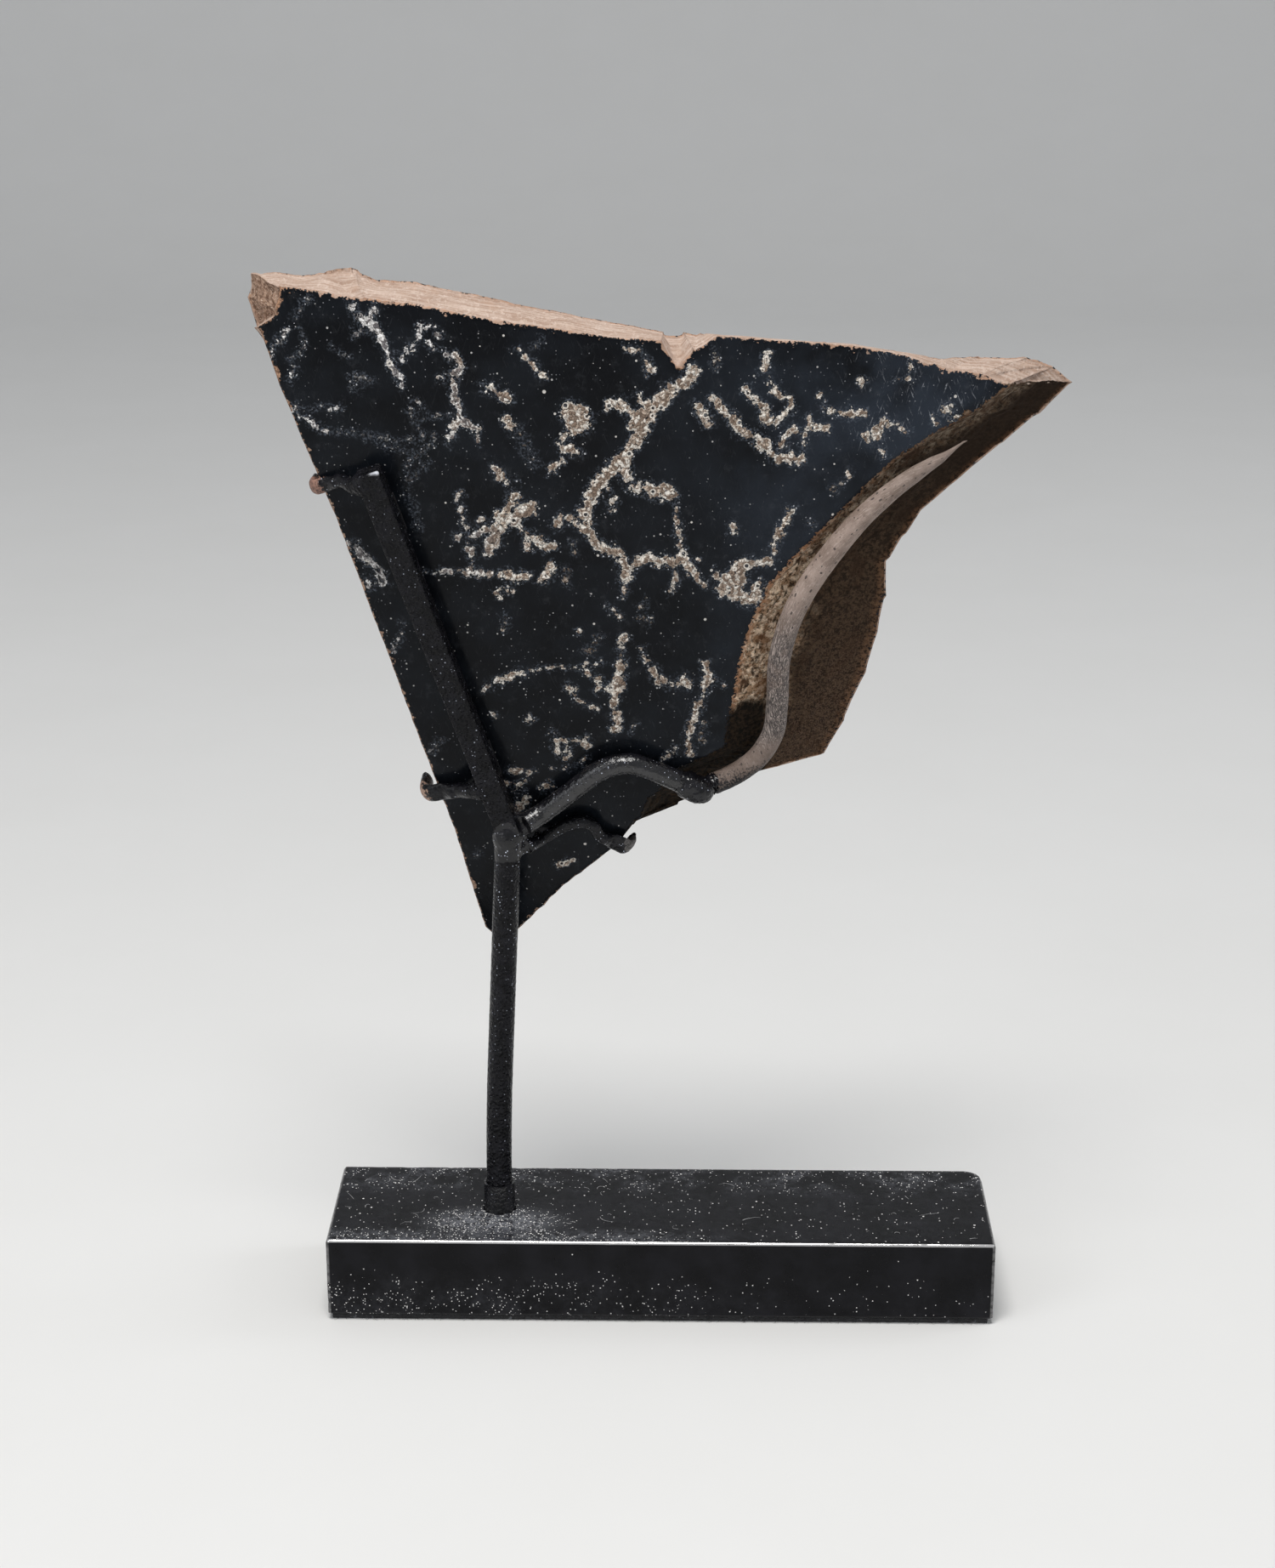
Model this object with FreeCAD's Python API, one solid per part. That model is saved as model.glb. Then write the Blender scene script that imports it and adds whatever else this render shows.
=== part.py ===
import FreeCAD, Part
import math
import os

from FreeCAD import Placement, Rotation, Vector

# A fragment of a black-gloss drinking cup on its blackened metal stand. Millimetres, +Z up, +X along
# the base, the cup's outer side faces -Y. The origin is the centre of the underside of the felt.

os.makedirs("parts", exist_ok=True)

# The base: a piece of flat bar with felt glued under it.
base_length = 101.6
base_depth = 25.4
base_height = 12.7
base_edge_round = 0.5
base_back_corner_round = 2.8
felt_thickness = 1.0
felt_inset = 0.6

# The post and its socket. The post stands straight in a thin tube and leans above it.
post_inset = 25.8
post_forward = 1.3
post_diameter = 3.97
post_lean_run = 2.2
post_straight = 10.0
post_top_height = 75.0
ferrule_wall = 0.36
ferrule_proud = 4.5
socket_depth = 9.0
socket_clearance = 0.05

# The sherd: a shell cut from a cup's bowl. Its lean is the angle of its middle from upright.
sherd_width = 116.6
sherd_height = 108.1
sherd_wall = 5.0
cup_radius = 260.0
sherd_lean_angle = 12.0
apex_share = (0.369, 0.509)
spine_foot_share = (0.303, 0.241)

# The bars and wires of the mount.
spine_size = 3.5
arm_diameter = 3.2
finger_diameter = 3.3
finger_tip_diameter = 1.7

# The claws: each is a round wire whose end is hammered to a width and a thickness. Its reach is how
# far it comes past the glaze along the break.
upper_claw_wire = 2.0
upper_claw_width = 2.3
upper_claw_thickness = 1.2
upper_claw_reach = 2.6
lower_claw_wire = 2.4
lower_claw_width = 3.0
lower_claw_thickness = 1.6
lower_claw_reach = 2.6
right_claw_wire = 1.9
right_claw_width = 3.0
right_claw_thickness = 1.1
right_claw_reach = 1.6
claw_inner_bend = 0.7
claw_near_leg = 1.2
claw_landing = 1.2

# Clearances, so that metal and clay never touch.
glaze_clearance = 0.4
finger_clearance = 0.5
upper_edge_clearance = 0.5
lower_edge_clearance = 1.1
right_edge_clearance = 1.4
pad_clearance = 0.35
pad_length = 6.0
pad_end_gap = 5.0

# Filler metal.
junction_braze_size = (5.6, 5.6, 6.4)
junction_braze_drop = 0.2
bar_foot_gap = 1.1
arm_gap = 0.9
arm_bead_height = 0.35
arm_bead_length = 1.7
arm_waist_share = 0.4
claw_braze_height = 0.9
claw_braze_rim = 0.2

bend_share = 0.45
overrun = 20.0

# The broken outline as shares of the sherd's width and height, clockwise from the chipped upper left
# corner when seen from outside. Each row is the glazed outer edge and the edge on the inner face.
# None stands for a break that runs square through the wall.
top_edge_shares = [
    ((0.016, 0.936), (0.007, 0.917)),
    ((0.040, 0.959), (0.000, 0.955)),
    ((0.047, 0.984), (0.003, 0.983)),
    ((0.098, 0.981), (0.090, 0.987)),
    ((0.148, 0.977), (0.129, 1.000)),
    ((0.218, 0.970), (0.207, 0.986)),
    ((0.278, 0.959), (0.276, 0.973)),
    ((0.358, 0.948), (0.356, 0.956)),
    ((0.418, 0.940), (0.440, 0.938)),
    ((0.498, 0.929), (0.500, 0.926)),
    ((0.518, 0.898), (0.520, 0.922)),
    ((0.536, 0.919), (0.538, 0.921)),
    ((0.568, 0.936), (0.568, 0.920)),
    ((0.648, 0.927), (0.650, 0.910)),
    ((0.719, 0.917), (0.722, 0.901)),
    ((0.781, 0.902), (0.826, 0.876)),
    ((0.822, 0.886), (0.880, 0.872)),
    ((0.849, 0.875), (0.937, 0.865)),
    ((0.885, 0.865), (0.972, 0.850)),
]
right_edge_shares = [
    ((0.917, 0.845), (1.000, 0.822)),
    ((0.877, 0.818), (0.960, 0.785)),
    ((0.811, 0.781), (0.916, 0.751)),
    ((0.770, 0.753), (0.868, 0.712)),
    ((0.725, 0.705), (0.823, 0.672)),
    ((0.685, 0.661), (0.800, 0.636)),
    ((0.649, 0.620), (0.780, 0.602)),
    ((0.624, 0.582), (0.778, 0.546)),
    ((0.604, 0.530), (0.769, 0.492)),
    ((0.592, 0.475), (0.757, 0.437)),
    ((0.584, 0.416), (0.732, 0.364)),
    ((0.574, 0.348), (0.707, 0.303)),
]
lower_edge_shares = [
    ((0.542, 0.328), (0.652, 0.287)),
    ((0.512, 0.314), (0.597, 0.272)),
    ((0.482, 0.269), (0.520, 0.232)),
    ((0.464, 0.230), (0.465, 0.200)),
    ((0.433, 0.180), None),
    ((0.371, 0.112), None),
    ((0.313, 0.032), None),
    ((0.285, 0.000), None),
]
left_edge_shares = [
    ((0.263, 0.030), None),
    ((0.249, 0.108), None),
    ((0.230, 0.211), None),
    ((0.192, 0.361), None),
    ((0.156, 0.499), None),
    ((0.133, 0.580), None),
    ((0.103, 0.685), None),
    ((0.080, 0.751), None),
    ((0.055, 0.823), None),
    ((0.041, 0.861), None),
]
outline_shares = top_edge_shares + right_edge_shares + lower_edge_shares + left_edge_shares
middle_share = (0.43, 0.63)
break_overrun_share = 0.15
cap_rise_share = 0.09

# The mount's routes over the sherd, as shares of its width and height.
spine_top_share = (0.148, 0.773)
arm_route_shares = [
    (0.347, 0.257), (0.382, 0.291), (0.415, 0.325), (0.437, 0.337),
    (0.461, 0.340), (0.490, 0.326), (0.549, 0.290),
]
right_claw_route_shares = [(0.350, 0.212), (0.373, 0.231), (0.396, 0.239), (0.411, 0.233)]
right_claw_edge_row = 3
right_claw_edge_share = 0.66
upper_claw_spine_share = 0.970
lower_claw_spine_share = 0.125

# The finger lies over the bevelled break. The third share is how deep the break lies under it, as a
# share of the wall.
finger_route_shares = [
    (0.563, 0.292, 0.36), (0.590, 0.305, 0.38), (0.620, 0.333, 0.28), (0.640, 0.372, 0.33),
    (0.643, 0.428, 0.30), (0.642, 0.489, 0.23), (0.655, 0.549, 0.20), (0.674, 0.594, 0.20),
    (0.705, 0.646, 0.16), (0.741, 0.693, 0.16), (0.785, 0.731, 0.24), (0.830, 0.757, 0.36),
]
finger_tip_share = (0.862, 0.777, 0.36)

# Levels of the stand.
block_top = felt_thickness + base_height
ferrule_top = block_top + ferrule_proud
socket_floor = block_top - socket_depth
post_x = post_inset - base_length / 2
post_top_x = post_x + post_lean_run
post_y = -post_forward
post_radius = post_diameter / 2
bore_radius = post_radius + socket_clearance
ferrule_radius = bore_radius + ferrule_wall


def shell_depth(u, v, depth):
    """Height of the cup's wall, at a depth under its glaze, over the plane that touches its apex."""
    du = u - apex[0]
    dv = v - apex[1]
    return math.sqrt((cup_radius - depth) ** 2 - du ** 2 - dv ** 2) - cup_radius


def over_shell(share, depth):
    """A point over or under the glaze, from its shares of the sherd's width and height."""
    u = (share[0] - spine_foot_share[0]) * sherd_width
    v = (share[1] - spine_foot_share[1]) * sherd_height
    return Vector(u, v, shell_depth(u, v, depth))


apex = (
    (apex_share[0] - spine_foot_share[0]) * sherd_width,
    (apex_share[1] - spine_foot_share[1]) * sherd_height,
)
shell_centre = Vector(apex[0], apex[1], -cup_radius)
near_edge = [over_shell(near, 0) for near, far in outline_shares]


def far_point(near, far):
    """The point of the inner face's outline that belongs to a point of the glazed outline."""
    if far is None:
        return shell_centre + (near - shell_centre) * ((cup_radius - sherd_wall) / cup_radius)
    return over_shell(far, sherd_wall)


far_edge = [far_point(near_edge[i], outline_shares[i][1]) for i in range(len(near_edge))]


def ball(radius):
    """The cup's surface as a ball, turned so that its seam and poles stay away from the sherd."""
    return Part.makeSphere(radius, shell_centre, Vector(0, 1, 0))


def triangle(a, b, c):
    return Part.Face(Part.makePolygon([a, b, c, a]))


def broken_core():
    """A closed block through the wall whose sides are the breaks, longer than the wall is thick."""
    outer = []
    inner = []
    for near, far in zip(near_edge, far_edge):
        through = (near - far) * break_overrun_share
        outer.append(near + through)
        inner.append(far - through)
    middle = over_shell(middle_share, 0)
    outer_middle = middle + Vector(0, 0, cap_rise_share * sherd_width)
    inner_middle = over_shell(middle_share, sherd_wall * (1 + break_overrun_share))
    faces = []
    for i in range(len(outer)):
        j = (i + 1) % len(outer)
        faces.append(triangle(outer[i], outer[j], inner[i]))
        faces.append(triangle(outer[j], inner[j], inner[i]))
        faces.append(triangle(outer[j], outer[i], outer_middle))
        faces.append(triangle(inner[i], inner[j], inner_middle))
    return Part.makeSolid(Part.makeShell(faces))


def make_sherd():
    core = broken_core()
    if core.Volume < 0:
        core.reverse()
    return core.common(ball(cup_radius)).cut(ball(cup_radius - sherd_wall))


def smooth_path(points, corner_radius=None):
    """Straight runs joined by tangent arcs, each of one radius or as large as its two runs allow."""
    edges = []
    here = points[0]
    for before, corner, after in zip(points, points[1:], points[2:]):
        back = (before - corner).normalize()
        ahead = (after - corner).normalize()
        run = min((before - corner).Length, (after - corner).Length)
        half_turn = (math.pi - back.getAngle(ahead)) / 2
        radius = corner_radius or bend_share * run / math.tan(half_turn)
        start = corner + back * (radius * math.tan(half_turn))
        end = corner + ahead * (radius * math.tan(half_turn))
        inward = (back + ahead).normalize()
        centre = corner + inward * (radius / math.cos(half_turn))
        edges.append(Part.LineSegment(here, start).toShape())
        edges.append(Part.Arc(start, centre - inward * radius, end).toShape())
        here = end
    edges.append(Part.LineSegment(here, points[-1]).toShape())
    return Part.Wire(edges)


def round_section(centre, direction, diameter):
    return Part.Wire(Part.makeCircle(diameter / 2, centre, direction))


def bent_rod(points, diameter):
    """A round rod along a route of points."""
    path = smooth_path(points)
    section = round_section(points[0], points[1] - points[0], diameter)
    return path.makePipeShell([section], True, False)


def flat_section(centre, across, thick, width, thickness):
    """A flattened wire's oval section, wide along one direction and thin along the other."""
    oval = Part.Ellipse(centre, width / 2, thickness / 2)
    oval.Axis = across.cross(thick)
    oval.XAxis = across
    return Part.Wire(oval.toShape())


def edge_frame(point, ahead):
    """Directions at the sherd's edge: out of the glaze, along the edge and away from the sherd."""
    normal = (point - shell_centre).normalize()
    along = (ahead - normal * ahead.dot(normal)).normalize()
    return normal, along, along.cross(normal)


def make_claw(route, point, ahead, wire_size, width, thickness, edge_clearance, reach):
    """A round wire that is hammered flat at its end and bent back along the sherd's break."""
    normal, along, out = edge_frame(point, ahead)
    level = glaze_clearance + thickness / 2
    outside = edge_clearance + thickness / 2

    def place(away, height):
        return point + out * away + normal * height

    flat_start = place(-claw_near_leg, level)
    corners = [flat_start, place(outside, level), place(outside, -reach)]
    path = smooth_path(corners, claw_inner_bend + thickness / 2)
    hook = path.makePipeShell([flat_section(flat_start, along, normal, width, thickness)], True, False)
    wire_end = place(-claw_near_leg - claw_landing, glaze_clearance + wire_size / 2)
    landing = Part.makeLoft([
        flat_section(wire_end, along, normal, wire_size, wire_size),
        flat_section(flat_start, along, normal, width, thickness),
    ], True, True)
    wire = bent_rod(route + [wire_end - out * claw_landing, wire_end], wire_size)
    return wire.fuse([landing, hook]).removeSplitter()


def spine_line():
    """The spine bar's centre line: straight, and clear of the glaze along its whole length."""
    foot = over_shell(spine_foot_share, 0)
    top = over_shell(spine_top_share, 0)
    flat_along = Vector(top.x - foot.x, top.y - foot.y, 0).normalize()
    aside = Vector(flat_along.y, -flat_along.x, 0)
    steps = 40
    bulge = 0
    for i in range(steps + 1):
        on_chord = foot + (top - foot) * (i / steps)
        for side in (-1, 0, 1):
            beside = on_chord + aside * (side * spine_size / 2)
            bulge = max(bulge, shell_depth(beside.x, beside.y, 0) - on_chord.z)
    lift = Vector(0, 0, bulge + glaze_clearance + spine_size / 2)
    return foot + lift, top + lift, aside


spine_foot, spine_top, spine_aside = spine_line()
spine_along = (spine_top - spine_foot).normalize()
spine_out = spine_aside.cross(spine_along).normalize()
if spine_out.z < 0:
    spine_out = spine_out * -1

# The sherd's frame: X across, Y up its middle, Z out of the glaze. The spine bar's foot stands over
# the post's top, and every piece of the mount is drawn in this frame and then put in its place.
sherd_turn = Rotation(Vector(1, 0, 0), 90 + sherd_lean_angle)
foot_place = Vector(post_top_x, post_y, post_top_height + bar_foot_gap)
sherd_place = Placement(foot_place - sherd_turn.multVec(spine_foot), sherd_turn)
to_sherd = sherd_place.inverse()


def placed(shape):
    """A shape drawn in the sherd's frame, put in its place on the stand."""
    moved = shape.copy()
    moved.Placement = sherd_place.multiply(moved.Placement)
    return moved


def square_bar(start, end, across, size, thickness):
    """A straight bar of rectangular section from one point to another."""
    along = (end - start).normalize()
    thick = across.cross(along).normalize()
    corner = start - across * (size / 2) - thick * (thickness / 2)
    outline = [corner, corner + across * size, corner + across * size + thick * thickness,
               corner + thick * thickness, corner]
    return Part.Face(Part.makePolygon(outline)).extrude(end - start)


def make_spine_pad(distance):
    """A pad on the back of the spine bar, as thick as the room between bar and glaze."""
    middle = spine_foot + spine_along * distance - spine_out * (spine_size / 2)
    room = overrun
    for along in (-1, 1):
        for side in (-1, 1):
            corner = middle + spine_along * (along * pad_length / 2) + spine_aside * (side * spine_size / 2)
            room = min(room, corner.z - shell_depth(corner.x, corner.y, 0))
    thickness = room - pad_clearance
    centre = middle - spine_out * (thickness / 2)
    half = spine_along * (pad_length / 2)
    return square_bar(centre - half, centre + half, spine_aside, spine_size, thickness)


def edge_crossing(start, direction):
    """Where a line over the glaze crosses the left edge, and the edge's direction there."""
    first = len(near_edge) - len(left_edge_shares) - 1
    ring = near_edge[first:] + near_edge[:1]
    crossings = []
    for a, b in zip(ring, ring[1:]):
        edge = b - a
        turn = direction.x * edge.y - direction.y * edge.x
        share = ((a.x - start.x) * direction.y - (a.y - start.y) * direction.x) / turn
        off_middle = abs(2 * share - 1)
        crossings.append((off_middle, a + edge * share, edge))
    off_middle, crossing, edge = min(crossings, key=lambda row: row[0])
    return Vector(crossing.x, crossing.y, shell_depth(crossing.x, crossing.y, 0)), edge


def make_left_claw(spine_share, wire_size, width, thickness, edge_clearance, reach):
    """A claw that leaves the spine bar square to its left side, and its fillet of filler metal."""
    root = spine_foot + (spine_top - spine_foot) * spine_share - spine_aside * (spine_size / 2)
    outward = spine_aside * -1
    point, ahead = edge_crossing(root, outward)
    route = [root, root + outward * (wire_size / 2)]
    claw = make_claw(route, point, ahead * -1, wire_size, width, thickness, edge_clearance, reach)
    rim = wire_size / 2 + claw_braze_rim
    fillet = Part.makeCone(spine_size / 2, rim, claw_braze_height, root, outward)
    return claw, fillet.cut(claw)


def over_glaze(shares, diameter):
    """The centre line of a rod that lies over the glaze, clear of it, from a table of shares."""
    stand_off = -(glaze_clearance + diameter / 2)
    return [over_shell(share, stand_off) for share in shares]


def make_right_claw():
    """The claw that leaves the junction low on the right and hooks over the lower right edge."""
    row = len(top_edge_shares) + len(right_edge_shares) + right_claw_edge_row
    a = near_edge[row]
    b = near_edge[row + 1]
    point = a + (b - a) * right_claw_edge_share
    point.z = shell_depth(point.x, point.y, 0)
    beside_post = to_sherd.multVec(Vector(post_top_x, post_y, post_top_height - right_claw_wire))
    start = beside_post + Vector(post_radius + arm_gap, 0, 0)
    route = [start] + over_glaze(right_claw_route_shares, right_claw_wire)
    return make_claw(route, point, a - b, right_claw_wire, right_claw_width, right_claw_thickness,
                     right_edge_clearance, right_claw_reach)


def make_support_arm():
    """The black rod from the junction to the finger's foot."""
    start = spine_foot + spine_aside * (spine_size / 2 + arm_gap)
    return bent_rod([start] + over_glaze(arm_route_shares, arm_diameter), arm_diameter)


def finger_point(share, diameter):
    """A point of the finger's centre line, clear of the break under it."""
    depth = share[2] * sherd_wall - finger_clearance - diameter / 2
    return over_shell(share, depth)


def make_finger():
    """The clay-painted rod along the break, drawn out to a narrow rounded tip."""
    route = [finger_point(share, finger_diameter) for share in finger_route_shares]
    rod = bent_rod(route, finger_diameter)
    tip = finger_point(finger_tip_share, finger_tip_diameter)
    reach = tip - route[-1]
    taper = Part.makeCone(finger_diameter / 2, finger_tip_diameter / 2, reach.Length, route[-1], reach)
    nose = Part.makeSphere(finger_tip_diameter / 2, tip, reach)
    neck = Part.makeSphere(finger_diameter / 2, route[-1], reach)
    return rod.fuse([neck, taper, nose])


def make_post():
    """The upright rod: straight in its socket, then leaning towards the junction."""
    foot = Vector(post_x, post_y, socket_floor)
    bend = Vector(post_x, post_y, ferrule_top + post_straight)
    return bent_rod([foot, bend, Vector(post_top_x, post_y, post_top_height)], post_diameter)


def is_back_right(box):
    """Whether an edge's box is the upright edge at the block's back right corner."""
    return box.ZLength > base_height / 2 and box.XMin > 0 and box.YMin > 0


def make_base_block():
    """The flat bar with one worn corner, eased top edges and a blind hole for the ferrule."""
    corner = Vector(-base_length / 2, -base_depth / 2, felt_thickness)
    block = Part.makeBox(base_length, base_depth, base_height, corner)
    upright = [edge for edge in block.Edges if is_back_right(edge.BoundBox)]
    block = block.makeFillet(base_back_corner_round, upright)
    eased = [edge for edge in block.Edges if edge.BoundBox.ZMin > block_top - base_edge_round]
    block = block.makeFillet(base_edge_round, eased)
    foot = Vector(post_x, post_y, socket_floor)
    hole = Part.makeCylinder(ferrule_radius, socket_depth + overrun, foot)
    return block.cut(hole)


def make_base_felt():
    corner = Vector(felt_inset - base_length / 2, felt_inset - base_depth / 2, 0)
    return Part.makeBox(base_length - 2 * felt_inset, base_depth - 2 * felt_inset, felt_thickness, corner)


def make_ferrule():
    """The socket tube, flush with the hole's floor and standing proud of the block."""
    foot = Vector(post_x, post_y, socket_floor)
    tube = Part.makeCylinder(ferrule_radius, socket_depth + ferrule_proud, foot)
    return tube.cut(Part.makeCylinder(bore_radius, socket_depth + ferrule_proud, foot))


def oval_lump(size, centre):
    """A lump of filler metal with its own length along each axis."""
    lump = Part.makeSphere(1)
    stretch = FreeCAD.Matrix()
    stretch.scale(size[0] / 2, size[1] / 2, size[2] / 2)
    stretch.move(centre)
    return lump.transformGeometry(stretch)


def make_junction_braze(rods):
    """The saddle of filler metal on top of the post, round the feet of the rods."""
    centre = Vector(post_top_x, post_y, post_top_height - junction_braze_drop)
    return oval_lump(junction_braze_size, centre).cut(rods)


def straight_run(start, end, diameter):
    """A plain round rod between two points."""
    return Part.makeCylinder(diameter / 2, (end - start).Length, start, end - start)


def make_arm_braze():
    """Two ring beads of filler metal on the arm's end, and a domed drop over the finger's foot."""
    before, end = over_glaze(arm_route_shares[-2:], arm_diameter)
    back = (before - end).normalize()
    side = back.cross(spine_out).normalize()
    rod = arm_diameter / 2
    crown = rod + arm_bead_height
    waist = rod + arm_bead_height * arm_waist_share

    def place(away, radius):
        return end + back * away + side * radius

    slant = waist / math.sqrt(2)
    tip = place(-waist, 0)
    first = place(arm_bead_length, waist)
    last = place(2 * arm_bead_length, rod)
    outline = Part.Wire([
        Part.Arc(tip, place(-slant, slant), place(0, waist)).toShape(),
        Part.Arc(place(0, waist), place(arm_bead_length / 2, crown), first).toShape(),
        Part.Arc(first, place(3 * arm_bead_length / 2, crown), last).toShape(),
        Part.LineSegment(last, place(0, rod)).toShape(),
        Part.LineSegment(place(0, rod), end).toShape(),
        Part.LineSegment(end, tip).toShape(),
    ])
    foot, ahead = [finger_point(share, finger_diameter) for share in finger_route_shares[:2]]
    beads = Part.Face(outline).revolve(end, back, 360)
    return beads.cut(straight_run(foot, ahead, finger_diameter))


parts = {
    "base_block": make_base_block(),
    "base_felt": make_base_felt(),
    "post_ferrule": make_ferrule(),
    "post": make_post(),
    "spine_bar": placed(square_bar(spine_foot, spine_top, spine_aside, spine_size, spine_size)),
    "support_arm": placed(make_support_arm()),
    "fracture_finger": placed(make_finger()),
    "arm_braze": placed(make_arm_braze()),
    "lower_right_claw": placed(make_right_claw()),
    "sherd": placed(make_sherd()),
}
spine_length = (spine_top - spine_foot).Length
parts["spine_pad_lower"] = placed(make_spine_pad(pad_end_gap + pad_length))
parts["spine_pad_upper"] = placed(make_spine_pad(spine_length - pad_end_gap - pad_length / 2))
left_claws = {
    "upper": make_left_claw(upper_claw_spine_share, upper_claw_wire, upper_claw_width,
                            upper_claw_thickness, upper_edge_clearance, upper_claw_reach),
    "lower": make_left_claw(lower_claw_spine_share, lower_claw_wire, lower_claw_width,
                            lower_claw_thickness, lower_edge_clearance, lower_claw_reach),
}
for name, (claw, fillet) in left_claws.items():
    parts[name + "_left_claw"] = placed(claw)
    parts[name + "_claw_braze"] = placed(fillet)
junction_rods = [parts[name] for name in ("post", "spine_bar", "support_arm", "lower_right_claw")]
parts["junction_braze"] = make_junction_braze(junction_rods)

for name, shape in parts.items():
    box = shape.BoundBox
    print(f"{name:18s} solids {len(shape.Solids)} valid {shape.isValid()} volume {shape.Volume:9.1f}"
          f" box {box.XLength:6.1f} {box.YLength:6.1f} {box.ZLength:6.1f}")
    shape.exportStep("parts/" + name + ".step")
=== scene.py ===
# %% [markdown]
# # A kylix sherd on its museum mount
# A piece of a black-gloss drinking cup stands on a bent-metal mount: a flat bar for a foot, a rod, a
# square bar with claws and a clay-painted finger along the break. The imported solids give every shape
# and size. This lesson only adds what the eye sees closer up: fired clay, root marks, paint and dust.

# %% Load the frame
import math
import random

import bmesh
import bpy
import numpy as np
from mathutils import Matrix, Vector, kdtree, noise


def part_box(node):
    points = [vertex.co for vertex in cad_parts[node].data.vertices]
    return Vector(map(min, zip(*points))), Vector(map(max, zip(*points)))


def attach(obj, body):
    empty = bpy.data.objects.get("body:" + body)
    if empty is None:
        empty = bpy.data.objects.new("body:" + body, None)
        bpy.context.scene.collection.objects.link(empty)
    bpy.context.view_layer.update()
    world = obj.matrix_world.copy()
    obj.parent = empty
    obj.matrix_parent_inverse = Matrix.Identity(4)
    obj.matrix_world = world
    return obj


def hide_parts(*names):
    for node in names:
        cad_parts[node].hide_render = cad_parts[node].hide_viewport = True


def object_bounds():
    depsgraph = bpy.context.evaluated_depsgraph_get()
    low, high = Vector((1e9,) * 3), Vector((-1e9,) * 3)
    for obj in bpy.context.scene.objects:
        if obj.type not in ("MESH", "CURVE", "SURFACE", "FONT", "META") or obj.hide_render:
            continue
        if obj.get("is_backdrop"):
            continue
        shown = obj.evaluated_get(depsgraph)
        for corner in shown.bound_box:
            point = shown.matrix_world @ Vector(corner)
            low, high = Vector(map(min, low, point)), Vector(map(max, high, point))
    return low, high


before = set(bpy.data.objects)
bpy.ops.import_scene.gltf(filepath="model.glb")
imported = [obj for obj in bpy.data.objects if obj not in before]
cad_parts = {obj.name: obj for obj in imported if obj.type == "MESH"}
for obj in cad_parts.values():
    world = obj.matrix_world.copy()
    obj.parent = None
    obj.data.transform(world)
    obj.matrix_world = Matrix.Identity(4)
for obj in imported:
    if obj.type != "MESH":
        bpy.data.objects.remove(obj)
cad_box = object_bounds()
MM = 0.001
print("solids", len(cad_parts), "box mm", [round(v / MM, 1) for corner in cad_box for v in corner])

# %% [markdown]
# ## A mesh with room for detail
# The solids have few, large faces, so nothing small can be shaped on them. Subdividing them would
# keep their long thin triangles. A voxel remesh lays even squares over the whole form instead, and
# it also softens hard corners a little, as paint and wear do. Each copy replaces its solid.

# %% Fine copies of the solids
def read(items, what, width, kind=np.float32):
    """One kind of number from all points or edges of a mesh, a row for each."""
    values = np.empty(len(items) * width, kind)
    items.foreach_get(what, values)
    return values.reshape(-1, width)


def read_points(mesh):
    return read(mesh.vertices, "co", 3).astype(float) / MM


def read_normals(mesh):
    return read(mesh.vertices, "normal", 3).astype(float)


def read_edges(mesh):
    return read(mesh.edges, "vertices", 2, np.int32)


def write_points(mesh, points):
    """Puts points in mm back on their mesh."""
    mesh.vertices.foreach_set("co", (points * MM).astype(np.float32).ravel())
    mesh.update()


def fill(mesh, points, faces, smooth=True, unit=MM):
    """Gives an empty mesh its points and faces."""
    mesh.from_pydata((np.asarray(points) * unit).tolist(), [], faces)
    mesh.polygons.foreach_set("use_smooth", [smooth] * len(mesh.polygons))
    return mesh


def placed(name, data):
    """A new object in the scene."""
    thing = bpy.data.objects.new(name, data)
    bpy.context.scene.collection.objects.link(thing)
    return thing


def remeshed(mesh, grain):
    """The same form in even faces about one grain (mm) wide."""
    blank = placed("blank", mesh)
    remesh = blank.modifiers.new("even faces", "REMESH")
    remesh.mode = "VOXEL"
    remesh.voxel_size = grain * MM
    remesh.use_smooth_shade = True
    even = bpy.data.meshes.new_from_object(blank.evaluated_get(bpy.context.evaluated_depsgraph_get()))
    even.materials.clear()
    bpy.data.objects.remove(blank)
    return even


def dress(name, mesh, node, body):
    """Puts a mesh in place of a solid."""
    piece = placed(name, mesh)
    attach(piece, body)
    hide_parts(node)
    print(f"{name:18s} {len(mesh.polygons):7d} faces")
    return piece


def fine_copy(name, node, grain, body):
    """An evenly meshed copy of a solid that replaces it."""
    return dress(name, remeshed(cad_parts[node].data.copy(), grain), node, body)


# %% Noise, soft steps and smoothing
def ripple(points, size, octaves=3):
    """Fractal noise at each point, about -1 to 1, with waves about one size (mm, or one per axis) long."""
    scaled = points / np.asarray(size, float)
    return np.array([noise.fractal(Vector(p), 1.0, 2.0, octaves) for p in scaled])


def ease(values, low, high):
    """0 below low, 1 above high and a smooth rise between. It falls where high is the smaller."""
    share = np.clip((values - low) / (high - low), 0, 1)
    return share * share * (3 - 2 * share)


def evened(values, edges, rounds):
    """Moves each row of three halfway to the average of its neighbours, a few rounds over."""
    count = np.bincount(edges.ravel(), minlength=len(values))[:, None]
    for _ in range(rounds):
        total = [np.bincount(edges[:, 0], values[edges[:, 1], k], len(values)) +
                 np.bincount(edges[:, 1], values[edges[:, 0], k], len(values)) for k in range(3)]
        values = (values + np.column_stack(total) / count) / 2
    return values


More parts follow.
